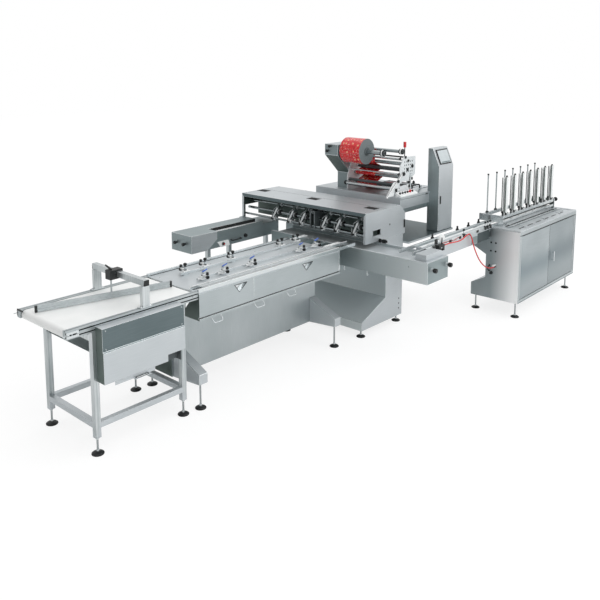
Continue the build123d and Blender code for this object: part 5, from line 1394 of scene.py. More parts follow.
@dataclass
class LaneFeeder:
    """The lane feeder: spine, panels, deck, lanes and the stations that clamp their guide bars."""

    face: float = -30.0
    stations: Sequence[float] = (1083.0, 1287.0, 1590.0, 2190.0, 2400.0)
    loops: Sequence[float] = (1010.0, 1449.0, 1821.0)
    handles: Sequence[float] = (1262.0, 2036.0)

    def build(self, shop: Shop, frame: Frame, patterns: Patterns) -> None:
        """Dresses the feeder and adds its hardware.

        Args:
            shop: The finishes.
            frame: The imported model.
            patterns: The trees for what repeats.
        """
        frame.dress(
            "feeder_base", "ground_steel_upright", INSIDE, PAINTED_SHADE, bevel=2.0, choose=self.base
        )
        frame.dress("feeder_outriggers", PALE, bevel=3.5, edge=BRIGHT)
        frame.dress(
            "feeder_housing", "ground_steel_panel", GAP, BRIGHT, PAINTED_SHADE,
            bevel=2.0, edge=BRIGHT, choose=self.housing,
        )
        frame.dress("feeder_deck", PALE, bevel=1.0)
        frame.dress("feeder_rails", BRIGHT, bevel=2.0)
        frame.dress("clear_strip", "clear_vinyl")
        frame.dress("lane_guides", BRIGHT, bevel=1.0)
        frame.dress("guide_levers", "blue_polyamide", bevel=2.0)
        self.hardware(shop, patterns)

    def base(self, middle: Vector, way: Vector) -> int:
        """The open bay gets painted shade inside, and the end that faces the table gets painted shade too."""
        bay = 800.5 < middle.x < 960.5 and 284.5 < middle.y < 570.5 and 295.5 < middle.z < 628.5
        return 1 if bay else 2 * int(way.x < -0.5)

    def housing(self, middle: Vector, way: Vector) -> int:
        """Painted shade in the groove, a painted highlight on the recessed handles, a dark seam line, and
        painted shade on the end panel.

        Args:
            middle: A face's middle in layout millimetres.
            way: The face's normal.

        Returns:
            The number of the finish.
        """
        deep = self.face + 0.5 < middle.y < -5 or 585 < middle.y < 609.5
        if 683.5 < middle.z < 694.5 and deep:
            return 1
        if deep and any(abs(middle.x - x) < 68 for x in self.handles) and 790 < middle.z < 860:
            return 2
        if deep and abs(middle.x - 1400) < 4:
            return 1
        return 3 if way.x < -0.5 else 0

    def hardware(self, shop: Shop, patterns: Patterns) -> None:
        """Adds the knobs, loops, screws and gaps.

        Args:
            shop: The finishes.
            patterns: The trees for what repeats.
        """
        near, far, up = (0, -1, 0), (0, 1, 0), (0, 0, 1)
        knobs = [((x, 167, 911), near) for x in self.stations] + [((x, 453, 911), far) for x in self.stations]
        knobs += [((x, 416, 942), up) for x in self.stations]
        piece = patterns.knobs("station_knobs", knobs, 30.0, 30.0)
        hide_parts("clamping_knobs")
        face = self.face
        loops = [
            ((x - 46, face + 6, 671), (
                x - 46, face - 12, 652
            ), (x - 40, face - 26, 632), (x + 40, face - 26, 632),
             (x + 46, face - 12, 652), (x + 46, face + 6, 671))
            for x in self.loops
        ]
        patterns.wires("skirt_loops", loops, 6.0)
        rims = [
            ((x - 66, face - 1, 858), (x + 66, face - 1, 858), (
                x - 16.5, face - 1, 796
            ), (x - 65, face - 1, 857))
            for x in self.handles
        ]
        patterns.wires("handle_rims", rims, 4.0, 2.0, BLACK)
        strip = [((x, -10, 908), up) for x in range(960, 2440, 164)]
        patterns.screws("strip_screws", strip, 9.0)
        deck = [((x, y, 880), up) for x in range(900, 2450, 258) for y in (130, 500, 560)]
        patterns.screws("deck_screws", deck, 10.0)
        mesh = Mesh(shop, BRIGHT, BLACK, WHITE)
        mesh.box((2452, 2469.5), (face - 0.8, face), (700, 868), 0)
        for x in self.stations:
            for y, far in ((204, 150), (416, 470)):
                mesh.box((x - 24, x + 24), (y - 14, y + 14), (886, 914), 2)
                mesh.rod((x, y, 914), (x, y, 920), 24, 1)
                mesh.box((x - 48, x + 48), (y - 5, y + 5), (890, 902), 2)
                mesh.box((x - 9, x + 9), (min(y, far), max(y, far)), (914, 924), 2)
                mesh.rod((x, far, 898), (x, far, 934), 13, 0)
                mesh.rod((x, far, 930), (x, far, 950), 25, 1, tip=19)
        for y in (118, 136, 520, 548):
            mesh.rod((2440, y, 892), (2652, y, 892), 9, 2)
        for y, end in ((-22, 2468), (72, 2700)):
            mesh.box((872, end), (y, y + 7), (904, 905.5), 2)
        for y, end in ((-3.5, 2468), (60, 2640), (84.5, 2640), (582, 2468)):
            mesh.box((872, end), (y, y + 3.5), (880, 882), 1)
        for y in (-12, 80):
            mesh.box((1500, 2468), (y, y + 4), (904, 905.3), 1)
        mesh.piece("feeder_trim", bevel=0.4)


@dataclass
class TransferGear:
    """The three bars in the cross housing with their clamps and the carriage that pushes the rows."""

    bars: Sequence[tuple[float, float, float]] = (
        (2800.0, 955.0, 22.0), (2850.0, 1015.0, 28.0), (2900.0, 1085.0, 22.0)
    )
    outline: Sequence[tuple[float, float]] = (
        (2778.0, 933.0), (2822.0, 933.0), (2922.0, 1063.0), (2922.0, 1107.0), (2878.0, 1107.0),
        (2778.0, 977.0)
    )
    collar_wall: float = 9.0
    shade_plate_x: tuple[float, float] = (2968.0, 2971.0)
    shade_plate_z: tuple[float, float] = (931.0, 1108.0)

    def build(self, shop: Shop, frame: Frame, patterns: Patterns) -> None:
        """Dresses the gear and adds its clamp screws.

        Args:
            shop: The finishes.
            frame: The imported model.
            patterns: The trees for what repeats.
        """
        clamps = frame.islands("transfer_clamps")
        mesh = Mesh(shop, BRIGHT, WHITE, BLACK)
        links, knobs, screws = [], [], []
        for low, high in clamps:
            near, far = low.y, high.y
            middle = (near + far) / 2
            mesh.prism([(x, near + 4, z) for x, z in self.outline], (0, far - near - 8, 0), 0)
            for x, z, width in self.bars:
                mesh.rod((x, near, z), (x, far, z), width + 2 * self.collar_wall, 1)
            for x, z, _ in self.bars[:2]:
                screws.append(((x + 21, near, z + 26), (0, -1, 0)))
            knobs.append(((self.outline[0][0], middle, 955), (-1, 0, 0)))
            for x, z, width in self.bars:
                mesh.rod((x, far + 3, z), (x, far + 21, z), width + 20, 2, tip=width + 12)
            mesh.rod((2850, near - 34, 1015), (2850, near - 12, 1015), 52, 2, tip=44)
            links.append(
                ((2900, far - 2, 1085), (2868, far + 46, 1040), (2850, far + 60, 1015), (2800, far + 24, 955))
            )
        mesh.piece("transfer_clamps_built", bevel=1.5, replaces=["transfer_clamps"])
        frame.left.discard("transfer_clamps")
        frame.dress("transfer_bars", CHROME, bevel=0.8)
        frame.dress("transfer_carriage", "cast_grey", bevel=2.5, edge="anodised_aluminium")
        patterns.screws("clamp_screws", screws, 12.0)
        patterns.knobs("clamp_knobs", knobs, 22.0, 16.0, lobes=6)
        patterns.wires("clamp_links", links, 9.0, 6.0)
        # A dark plate behind the gear, only there to darken the housing's inside: painted shade
        cover = Mesh(shop, PAINTED_SHADE)
        cover.box(self.shade_plate_x, (-74, 1504), self.shade_plate_z)
        cover.piece("gear_painted_shade_plate")


@dataclass
class CrossConveyor:
    """The base, trough and housing that carry the rows across to the trays."""

    lip_low: float = 1141.0
    top: float = 1175.0
    near: float = -100.0
    recesses: Sequence[float] = (20.0, 740.0, 1452.0)

    def build(self, shop: Shop, frame: Frame, patterns: Patterns) -> None:
        """Dresses the cross conveyor and adds its hardware.

        Args:
            shop: The finishes.
            frame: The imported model.
            patterns: The trees for what repeats.
        """
        # The base's left faces get a lighter sheet that grows lighter towards the floor: painted light
        frame.dress(
            "base_body", PALE, "ground_steel_base", bevel=2.5, edge=BRIGHT,
            choose=lambda middle, way: int(way.x < -0.3),
        )
        # The trough's left side grows lighter towards its near end, a painted reflection, and its near end
        # face is mid grey: painted shade
        frame.dress(
            "cross_trough", PALE, "ground_steel_trough", MIDDLE, bevel=2.5,
            edge=BRIGHT,
            choose=lambda middle, way: int(way.x < -0.5) + 2 * int(way.y < -0.5 and middle.y < -829),
        )
        frame.dress(
            "trough_end_guard", PALE, BRIGHT, bevel=2.0,
            choose=lambda middle, way: int(way.x > 0.3 and way.z > 0.3),
        )
        frame.dress(
            "cross_housing", PALE, PAINTED_SHADE, DARK, GAP,
            bevel=2.5, edge=BRIGHT, choose=self.housing,
        )
        self.hardware(shop, patterns)

    def housing(self, middle: Vector, way: Vector) -> int:
        """The housing's lip is mid grey, its inside gets painted shade, and the recesses in its top are
        painted black: painted shade.

        Args:
            middle: A face's middle in layout millimetres.
            way: The face's normal.

        Returns:
            The number of the finish.
        """
        if self.top - 4 < middle.z < self.top - 0.5 and (way.z > 0.5 or abs(middle.x - 3003) < 24):
            return 3 if 2975 < middle.x < 3030 else 0
        if way.x < -0.5 and middle.x < 2756:
            return 2 if middle.z > self.lip_low - 2 else 0
        inside = middle.x > 2758 and middle.z < self.top - 1 and -98 < middle.y < 1528
        if inside and (way.z < -0.5 or way.x < -0.5 or abs(way.y) > 0.5):
            return 1
        return 0

    def hardware(self, shop: Shop, patterns: Patterns) -> None:
        """Adds the window's frame, the latch, the connectors, knobs, seams and screws.

        Args:
            shop: The finishes.
            patterns: The trees for what repeats.
        """
        near, left = (0, -1, 0), (-1, 0, 0)
        y = self.near
        mesh = Mesh(shop, PALE, BLACK, GAP)
        for x, z in (
            ((2860, 2992), (997, 1003)), ((2860, 2992), (939, 945)), ((2860, 2866), (939, 1003)),
            ((2986, 2992), (939, 1003))
        ):
            mesh.box(x, (y - 3, y), z, 0)
        mesh.box((3376, 3392), (y - 5, y), (945, 1025), 1)
        mesh.box((3382, 3386), (y - 9, y - 5), (955, 1015), 1)
        mesh.box((3083.8, 3086.2), (-99, 1529), (1175, 1175.4), 2)
        # Black slabs over the top's recesses: painted shade
        for y_ in self.recesses:
            mesh.box((2962, 3050), (y_ - 64, y_ + 64), (1175, 1176.4), 2)
        mesh.box((2953.5, 2975), (-178, -142), (875, 908), 1)
        mesh.box((2953.5, 2975), (-130, -104), (875, 900), 1)
        for height in (888, 899):
            mesh.rod((2962, -178, height), (2962, -196, height), 11, 1)
        mesh.rod((2962, -104, 905), (2962, -128, 905), 12, 1)
        mesh.piece("housing_fittings", bevel=0.8)
        patterns.holes("base_sight_holes", [((3316, y, z), near) for z in (241, 192, 143)], 16.0)
        patterns.holes("housing_hole", [((3139, y, 1014), near)], 18.0)
        patterns.screws("trough_screws", [((2640, -407, 845), left), ((2640, -645, 811), left)], 14.0)
        top = [((x, spot, 1175), (0, 0, 1)) for x in (2790, 3290) for spot in (-70, 330, 1100, 1500)]
        patterns.screws("housing_screws", top, 12.0)
        ends = [((x, -830, 803), near) for x in (2707, 2953)]
        patterns.knobs("trough_end_knobs", ends, 44.0, 50.0, lobes=7)
        patterns.holes("trough_end_collars", ends, 40.0, "anodised_aluminium", 14.0)
        patterns.holes(
            "end_guard_knobs", [((2930, -680, 898), (0, 1, 0)), ((2966, -700, 880), (0, 0, 1))], 22.0,
            BLACK, 16.0
        )


@dataclass
class SideConveyor:
    """The side conveyor behind the feeder, with its drive box and switch plate."""

    near: float = 1201.0

    def build(self, shop: Shop, frame: Frame, patterns: Patterns) -> None:
        """Dresses the conveyor and adds its switches, handle and knobs.

        Args:
            shop: The finishes.
            frame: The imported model.
            patterns: The trees for what repeats.
        """
        frame.dress(
            "side_conveyor", MIDDLE, PALE, GAP, bevel=2.5,
            edge=BRIGHT, choose=self.faces,
        )
        frame.dress("side_conveyor_legs", "tube_steel", bevel=2.0)
        frame.dress("side_switch_plate", WHITE, bevel=1.0)
        near, left = (0, -1, 0), (-1, 0, 0)
        patterns.holes("rotary_switch", [((2186, 1203, 785), near)], 34.0, BLACK, 16.0)
        patterns.holes("rotary_switch_grip", [((2186, 1195, 785), near)], 16.0, "red_button", 14.0)
        patterns.holes("lane_drive_hub", [((2496, 1215, 812), near)], 42.0, BLACK, 18.0)
        handle = [((2300, 1216, 800), (2300, 1186, 800), (2422, 1186, 800), (2422, 1216, 800))]
        patterns.wires("lane_handle", handle, 13.0, finish=BLACK)
        patterns.knobs(
            "side_drive_knobs", [((1790, y, 840), left) for y in (1295, 1420)], 35.0, 36.0, lobes=6
        )
        mesh = Mesh(shop, GAP, "belt_polyurethane")
        mesh.box((2112, 2750), (1240, 1246), (890, 890.6), 0)
        mesh.box((2112, 2750), (1246, 1330), (890, 890.8), 1)
        mesh.piece("side_lane_belt")

    def faces(self, middle: Vector, way: Vector) -> int:
        """The drive box is mid grey with a pale near face, and the near face of the lane beside it is painted
        black: painted shade.
        """
        lane = way.x >= -0.5 and way.y < -0.5
        return int(lane) * (2 if middle.y > 1300 else int(middle.y < self.near + 1))


@dataclass
class FlowWrapper:
    """The wrapping machine: cabinet, bed, body, control column and button console."""

    screen_middle: tuple[float, float, float] = (4074.8, -117.3, 1580.2)
    screen_up: tuple[float, float, float] = (0.0, 0.395, 0.918)
    screen_out: tuple[float, float, float] = (0.0, -0.918, 0.395)
    screen_half: tuple[float, float] = (98.0, 68.0)
    first_button: tuple[float, float, float] = (3452.0, 2.0, 1252.3)
    button_pitch: float = 44.0
    button_count: int = 6
    stop_button: int = 4
    console_slope: tuple[float, float, float] = (0.0, -0.417, 0.909)

    def build(self, shop: Shop, frame: Frame, patterns: Patterns) -> None:
        """Dresses the wrapper and adds its screen, buttons and latches.

        Args:
            shop: The finishes.
            frame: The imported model.
            patterns: The trees for what repeats.
        """
        # The cabinet's left faces are darker, and its near faces under the body darker still: painted shade
        frame.dress(
            "wrapper_cabinet", "ground_steel_upright", DARK, PAINTED_SHADE, bevel=2.0,
            choose=lambda middle, way: int(way.x < -0.5) + 2 * int(way.y < -0.5),
        )
        frame.dress(
            "wrapper_bed", PALE, DARK, bevel=1.5,
            choose=lambda middle, way: int(way.z > 0.5),
        )
        frame.dress(
            "wrapper_body", PALE, MIDDLE, BRIGHT, bevel=3.0,
            edge=BRIGHT, choose=self.body,
        )
        # The column's left face gets the darker column sheet, a little lighter lower down: painted shade
        frame.dress(
            "control_column", PALE, "ground_steel_column", bevel=4.0, edge=BRIGHT,
            choose=lambda middle, way: int(way.x < -0.5),
        )
        frame.dress("control_screen", BLACK, bevel=2.0)
        frame.dress("button_console", WHITE, bevel=2.0)
        self.panel(shop)
        x, y, z = self.first_button
        black = [
            ((x + self.button_pitch * place, y, z), self.console_slope) for place in range(self.button_count)
        ]
        stop = black.pop(self.stop_button)
        patterns.holes("console_buttons", black, 22.0, BLACK, 16.0)
        patterns.holes("console_stop_button", [stop], 26.0, "red_button", 22.0)
        mesh = Mesh(shop, BLACK)
        mesh.box((3960, 3976), (-157, -150), (1098, 1181))
        mesh.box((3852, 3888), (-53, -45), (1204, 1212))
        mesh.piece("wrapper_latches", bevel=2.0)

    def body(self, middle: Vector, way: Vector) -> int:
        """The face that turns down to the bed gets painted shade, and the rails on top are bright."""
        return 2 if middle.z > 1225.5 else int(way.y < -0.3 and middle.z < 1106)

    def panel(self, shop: Shop) -> None:
        """Adds the light panel in the screen's dark bezel.

        Args:
            shop: The finishes.
        """
        middle, up, out = Vector(self.screen_middle), Vector(self.screen_up), Vector(self.screen_out)
        wide, high = self.screen_half
        mesh = Mesh(shop, "screen_glass", DARK)
        corners = [
            middle + Vector((x * wide, 0, 0)) + up * z * high for x, z in ((-1, -1), (1, -1), (1, 1), (-1, 1))
        ]
        mesh.prism(corners, out * 1.2)
        base = middle - up * 0.86 * high + out * 1.2
        face = [
            base + Vector((x * wide * 0.8, 0, 0)) + up * z * 5 for x,
            z in ((-1, -1), (1, -1), (1, 1), (-1, 1))
        ]
        mesh.prism(face, out * 0.4, 1)
        mesh.piece("screen_panel")


@dataclass
class FilmUnwind:
    """The film roll on its mandrel, the splice shaft, and the rollers between their two plates."""

    roll_place: tuple[float, float] = (3400.0, 1650.0)
    roll_y: tuple[float, float] = (375.0, 625.0)
    roll_radius: float = 131.0
    mandrel: tuple[float, float] = (150.0, 717.7)
    splice_place: tuple[float, float] = (3562.0, 1660.0)
    near_face: float = 50.0
    holes_pitch: float = 34.0

    def build(self, shop: Shop, frame: Frame, patterns: Patterns) -> None:
        """Dresses the unwind and turns its roll and shafts.

        Args:
            shop: The finishes.
            frame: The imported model.
            patterns: The trees for what repeats.
        """
        # The bracket's underside is darker and its left faces mid grey: painted shade
        frame.dress(
            "film_bracket", PALE, MIDDLE, PAINTED_SHADE, bevel=3.5,
            edge=BRIGHT, choose=lambda middle, way: 2 if way.z < -0.5 else int(way.x < -0.5),
        )
        frame.dress(
            "unwind_plates", "satin_nickel_plate", BLACK, "red_button", bevel=1.0, choose=self.plates
        )
        frame.dress("film_rollers", CHROME, "cast_grey", choose=self.rollers)
        frame.dress("film_web", "printed_film")
        frame.dress("release_lever", WHITE, bevel=2.5, edge=GAP)
        self.roll(shop)
        self.shafts(shop)
        self.hardware(shop, patterns)

    def plates(self, middle: Vector, way: Vector) -> int:
        """The lamp on the near plate has a black stem and a red cap."""
        return 2 if middle.z > 1699.5 else int(middle.z > 1608.5 and abs(middle.x - 3603) < 8)

    def rollers(self, middle: Vector, way: Vector) -> int:
        """Every second guide roller has a dark rubber cover."""
        dark = ((3640, 1465), (3590, 1300), (3470, 1335))
        return int(any(math.hypot(middle.x - x, middle.z - z) < 26 for x, z in dark))

    def roll(self, shop: Shop) -> None:
        """Winds the printed roll, with its grey cut edges.

        Args:
            shop: The finishes.
        """
        x, z = self.roll_place
        near, far = self.roll_y
        mesh = Mesh(shop, "printed_film", "wound_film_edge", "cast_grey")
        radius, width = self.roll_radius, far - near
        mesh.turned((x, near, z), (0, 1, 0), ((radius, 0), (radius, width)), 0, 96, ends=1)
        mesh.rod((x, near - 6, z), (x, near, z), 84, 2, sides=48)
        mesh.rod((x, far, z), (x, far + 6, z), 84, 2, sides=48)
        mesh.piece("film_roll_wound", "film_reel", bevel=1.2, replaces=["film_roll"])

    def shafts(self, shop: Shop) -> None:
        """Turns the mandrel and the splice shaft, each with a collar and a black end.

        Args:
            shop: The finishes.
        """
        for name, node, body, (x, z), width, collar, (near, far) in (
            ("mandrel_turned", "film_mandrel", "film_reel", self.roll_place, 44.0, (158.0, 194.0, 66.0),
            self.mandrel),
            ("splice_shaft_turned", "splice_shaft", "splice_reel", self.splice_place, 34.0,
            (48.0, 84.0, 56.0), (40.0, None)),
        ):
            if far is None:
                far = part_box(node)[1][1] / MM - DATUM.y
            mesh = Mesh(shop, CHROME, WHITE, BLACK)
            mesh.rod((x, near, z), (x, far, z), width, 0, sides=40)
            mesh.rod((x, collar[0], z), (x, collar[1], z), collar[2], 2, sides=40)
            mesh.rod((x, near - 0.5, z), (x, near, z), width * 0.9, 2, sides=32)
            mesh.rod((x, collar[0] + 10, z), (x, collar[1] - 12, z), collar[2] + 1, 1, sides=40)
            mesh.piece(name, body, bevel=1.0, replaces=[node])

    def hardware(self, shop: Shop, patterns: Patterns) -> None:
        """Adds the near plate's perforations, the black modules, the post and the tracking knobs.

        Args:
            shop: The finishes.
            patterns: The trees for what repeats.
        """
        near, left = (0, -1, 0), (-1, 0, 0)
        y = self.near_face
        step = self.holes_pitch
        grid = [(3600 + step * column, 1450 + step * row) for row in range(4) for column in range(5)]
        patterns.holes("plate_perforations", [((x, y, z), near) for x, z in grid], 15.0, INSIDE)
        low = [(3440 + step * column, 1262 + step * row) for row in range(2) for column in range(3)]
        patterns.holes("low_plate_perforations", [((x, y, z), near) for x, z in low], 13.0)
        mesh = Mesh(shop, BLACK, WHITE, BRIGHT)
        mesh.box((3635, 3667), (y - 6, y), (1455, 1487), 0)
        mesh.rod((3697, 40, 1246), (3697, 40, 1433), 13, 2)
        mesh.rod((3697, 40, 1262), (3697, y + 2, 1262), 11, 2)
        mesh.rod((3697, 40, 1420), (3697, y + 2, 1420), 11, 2)
        outline = (
            (3446, y + 1, 1229), (3446, y + 1, 1369), (3405, y + 1, 1362), (3296, y + 1, 1246),
            (3296, y + 1, 1229)
        )
        mesh.prism(outline, (0, 3, 0), 1)
        for place, width, finish in (
            ((3512, 1592), 18, 2), ((3610, 1600), 16, 0), ((3492, 1440), 16, 2), ((3735, 1500), 22, 2),
            ((3450, 1285), 20, 0), ((3660, 1560), 14, 2), ((3530, 1330), 14, 2),
        ):
            mesh.rod((place[0], y + 8, place[1]), (place[0], 650, place[1]), width, finish)
            mesh.rod((place[0], y - 8, place[1]), (place[0], y + 2, place[1]), width + 14, 0, tip=width + 8)
        mesh.rod((3412, 74, 1304), (3412, 640, 1304), 30, 2)
        mesh.rod((3412, 640, 1304), (3412, 657, 1304), 44, 0)
        mesh.rod((3412, 54, 1304), (3412, 74, 1304), 40, 0)
        for x, z, size in ((3700, 1300, 26), (3672, 1340, 20), (3716, 1372, 24)):
            mesh.box((x - size, x + size), (y - 10, y - 0.5), (z - 12, z + 12), 0)
        mesh.piece("unwind_fittings", bevel=0.8)
        bars = [
            ((3760, y_, 1227), (3760, y_, 1290), (3900, y_, 1290), (3900, y_, 1227)) for y_ in (60.0, 180.0,
            420.0)
        ]
        patterns.wires("web_guide_bars", bars, 14.0, 18.0, BLACK)
        rails = [((x, 60, 1290), (x, 420, 1290)) for x in (3790, 3870)]
        patterns.wires("web_guide_rails", rails, 16.0, 1.0, CHROME)
        patterns.knobs(
            "tracking_knobs", [((3285, 760, 1686), left), ((3285, 792, 1636), left)], 34.0, 26.0, lobes=6
        )
        dancer = [((3566, 1436), 44.0), ((3470, 1372), 36.0), ((3745, 1330), 40.0)]
        for index, ((x, z), width) in enumerate(dancer):
            patterns.holes(f"dancer_disc_{index}", [((x, y - 13, z), near)], width, BLACK, 10.0)


@dataclass
class TrayConveyor:
    """The lane that takes the empty trays along the line's near side."""

    def build(self, shop: Shop, frame: Frame, patterns: Patterns) -> None:
        """Dresses the conveyor and adds its valve and sensor fittings.

        Args:
            shop: The finishes.
            frame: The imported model.
            patterns: The trees for what repeats.
        """
        frame.dress(
            "tray_conveyor", PALE, INSIDE, bevel=1.5,
            choose=lambda middle, way: int(middle.x > 3859 and middle.x < 4150.5 and middle.z < 874.5),
        )
        frame.dress(
            "tray_rails", BRIGHT, WHITE, bevel=1.5,
            choose=lambda middle, way: int(-630 < middle.y < -520),
        )
        frame.dress("air_fittings", BLACK, bevel=1.2)
        mesh = Mesh(shop, BLACK, WHITE, BRIGHT, MIDDLE)
        mesh.rod((3142, -664, 922), (3142, -664, 978), 12, 0)
        mesh.turned((3142, -658, 978), (-0.62, -0.78, 0), ((30, 0), (32, 2), (32, 6), (29, 8)), 1, 36)
        mesh.rod((3080, -688, 900), (3080, -702, 900), 12, 2)
        mesh.rod((3110, -688, 884), (3110, -704, 884), 18, 0)
        for x in (3560, 3990, 4040, 4095):
            mesh.box((x, x + 26), (-656, -637), (898, 934), 0)
            mesh.rod((x + 13, -646, 934), (x + 13, -646, 968), 11, 2)
            mesh.rod((x + 13, -646, 962), (x + 13, -646, 980), 24, 0, tip=18)
        for x in (3240, 3700, 3920, 4130):
            mesh.box((x, x + 22), (-512, -488), (900, 936), 0)
            mesh.rod((x + 11, -500, 936), (x + 11, -500, 962), 18, 0)
        for x in (3300, 3480, 3820):
            mesh.box((x, x + 40), (-652, -650), (898, 922), 0)
        mesh.box((3722, 3840), (-651, -650), (796, 868), 3)
        mesh.box((4108, 4170), (-696, -678), (503, 517), 1)
        mesh.piece("tray_lane_fittings", bevel=1.2)
        rails = [((x, -650, 912), (0, -1, 0)) for x in (2760, 3380, 3700, 4250, 4700, 5150, 5450)]
        patterns.screws("tray_rail_screws", rails, 12.0)
        box = [((x, -630, z), (0, -1, 0)) for x in (3880, 4130) for z in (792, 862)]
        patterns.screws("drive_box_screws", box, 10.0)


@dataclass
class TrayDispenser:
    """The dispenser's cabinet with its two hinged doors and the counter."""

    side: float = 4170.0
    door_face: float = -940.0

    def build(self, shop: Shop, frame: Frame, patterns: Patterns) -> None:
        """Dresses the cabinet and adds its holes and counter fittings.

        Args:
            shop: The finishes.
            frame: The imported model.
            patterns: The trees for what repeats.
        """
        frame.dress(
            "dispenser_cabinet", "ground_steel_panel", "ground_steel_side", INSIDE, bevel=4.0,
            edge=BRIGHT, choose=self.cabinet,
        )
        # The far door gets the darker door sheet: painted shade
        for door, finish in (("door_left", "ground_steel_door"), ("door_right", "ground_steel_door_far")):
            frame.dress(
                door, finish, BRIGHT, INSIDE, bevel=3.0,
                edge=BRIGHT, choose=self.pull,
            )
        frame.dress("dispenser_counter", PALE, bevel=2.0, edge=BRIGHT)
        left = (-1, 0, 0)
        spots = [((self.side, y, z), left) for y in (-634, -685) for z in (735, 648)]
        patterns.holes("dispenser_side_holes", spots, 20.0)
        patterns.holes("dispenser_side_knob", [((self.side, -647, 420), left)], 34.0, BLACK, 22.0)
        mesh = Mesh(shop, GAP, BRIGHT, DARK)
        for x in range(4300, 5500, 200):
            mesh.box((x, x + 120), (-872, -858), (888.7, 889.4), 0)
        for x in (4400, 4900, 5300):
            mesh.rod((x, -890, 891), (x + 90, -750, 891), 7, 1)
        face = self.door_face
        for x, proud, z, finish in (
            ((4172, 5618), 0.6, (842, 847), 0), ((4172, 5618), 0.8, (168, 173), 1),
            ((4172, 5618), 0.6, (158, 161), 2), ((5596, 5606), 0.6, (190, 838), 2),
        ):
            mesh.box(x, (face - proud, face), z, finish)
        mesh.piece("counter_slots_and_stays")
        hook = [((4170, -625, 500), (4120, -625, 470), (4170, -625, 435))]
        patterns.wires("cable_hook", hook, 13.0, 4.0, BLACK)
        counter = [((x, -912, 894.7), (0, 0, 1)) for x in range(4230, 5570, 330)]
        patterns.screws("counter_screws", counter, 12.0)

    def cabinet(self, middle: Vector, way: Vector) -> int:
        """The cabinet's end panels are ground across and go over to white towards the near edge, a painted
        highlight, and its inside gets painted shade.
        """
        inside = 4216 < middle.x < 5574 and -905 < middle.y < -583 and 185 < middle.z < 879
        return 2 if inside else int(abs(way.x) > 0.5)

    def pull(self, middle: Vector, way: Vector) -> int:
        """The door's pull and its studs are bright, and its edges and back get painted shade."""
        return 1 if middle.y < self.door_face - 0.5 else 2 * int(way.y >= -0.5)


@dataclass
class TrayMagazine:
    """The rails over the dispenser with their stacking guides, rods and adjusting wheel."""

    guides: Sequence[float] = tuple(4345.0 + 190.0 * place for place in range(7))
    guide_y: float = -687.0
    wheel: tuple[float, float] = (-687.0, 983.0)

    def build(self, shop: Shop, frame: Frame, patterns: Patterns) -> None:
        """Dresses the magazine and adds its caps, clamps, screws and wheel.

        Args:
            shop: The finishes.
            frame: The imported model.
            patterns: The trees for what repeats.
        """
        frame.dress("magazine_frame", BRIGHT, PAINTED_SHADE, bevel=2.0, choose=self.ends)
        frame.dress("tray_guides", WHITE, PAINTED_SHADE, bevel=0.6, choose=self.channels)
        frame.dress(
            "tray_guide_rods", CHROME, BLACK, choose=lambda middle, way: int(middle.z > 1389)
        )
        mesh = Mesh(shop, BLACK, BRIGHT, GAP, WHITE)
        for x in self.guides:
            # Each guide's white wing has black strips at both sides: painted shade
            mesh.box((x - 46, x + 24), (-669, -667), (1022, 1388), 3)
            mesh.box((x + 24, x + 46), (-672, -666.5), (1022, 1390), 2)
            mesh.box((x - 52, x - 45), (-672, -666.5), (1022, 1388), 2)
            mesh.rod((x + 36, -674, 1388), (x + 36, -674, 1400), 18, 0)
            mesh.rod((x - 36, -676, 1000), (x - 36, -676, 1040), 16, 0)
            mesh.box((x - 27, x + 27), (self.guide_y - 20, self.guide_y - 10), (1000.5, 1026), 0)
            mesh.box((x - 10, x + 10), (self.guide_y - 24, self.guide_y - 19), (1004, 1018), 1)
            mesh.turned((x, -487, 1000), (0, 0, 1), ((16, 0), (16, 10), (11, 14)), 0, 24)
        mesh.box((4275, 5555), (-700.8, -700), (957, 969), 2)
        mesh.box((4268, 5562), (-745, -728), (894.7, 896.5), 2)
        mesh.box((4268, 5562), (-775, -752), (894.7, 897), 1)
        y, z = self.wheel
        mesh.rod((5571, y, z), (5625, y, z), 12, 1)
        for y_ in (-640, -560):
            mesh.rod((5563, y_, 1000), (5563, y_, 1034), 12, 1)
            mesh.turned((5563, y_, 1030), (0, 0, 1), ((15, 0), (21, 3), (21, 16), (17, 20)), 0, 24)
        mesh.turned((5625, y, z), (1, 0, 0), ((14, 0), (23, 3), (23, 18), (19, 22)), 0, 32)
        mesh.piece("magazine_fittings", bevel=1.0)
        front = [((x, -700, 983), (0, -1, 0)) for x in range(4310, 5540, 190)]
        patterns.screws("magazine_screws", front, 14.0)
        side = [((4259, y_, z_), (-1, 0, 0)) for y_ in (-680, -487) for z_ in (950, 983)]
        patterns.screws("magazine_end_screws", side, 14.0)

    def ends(self, middle: Vector, way: Vector) -> int:
        """The far end plate gets painted shade."""
        return int(abs(way.x) > 0.5 and middle.x > 5554)

    def channels(self, middle: Vector, way: Vector) -> int:
        """The inner side and the flanks of each half-round channel get painted shade.

        Args:
            middle: A face's middle in layout millimetres.
            way: The face's normal.

        Returns:
            The number of the finish.
        """
        nearest = min(self.guides, key=lambda x: abs(x - middle.x))
        outward = Vector((middle.x - nearest, middle.y - self.guide_y, 0))
        inner = outward.dot(way) < 0
        flank = way.x > 0.75 or way.x < -0.95
        return int(middle.z > 1022.5 and abs(way.z) < 0.5 and (inner or flank))


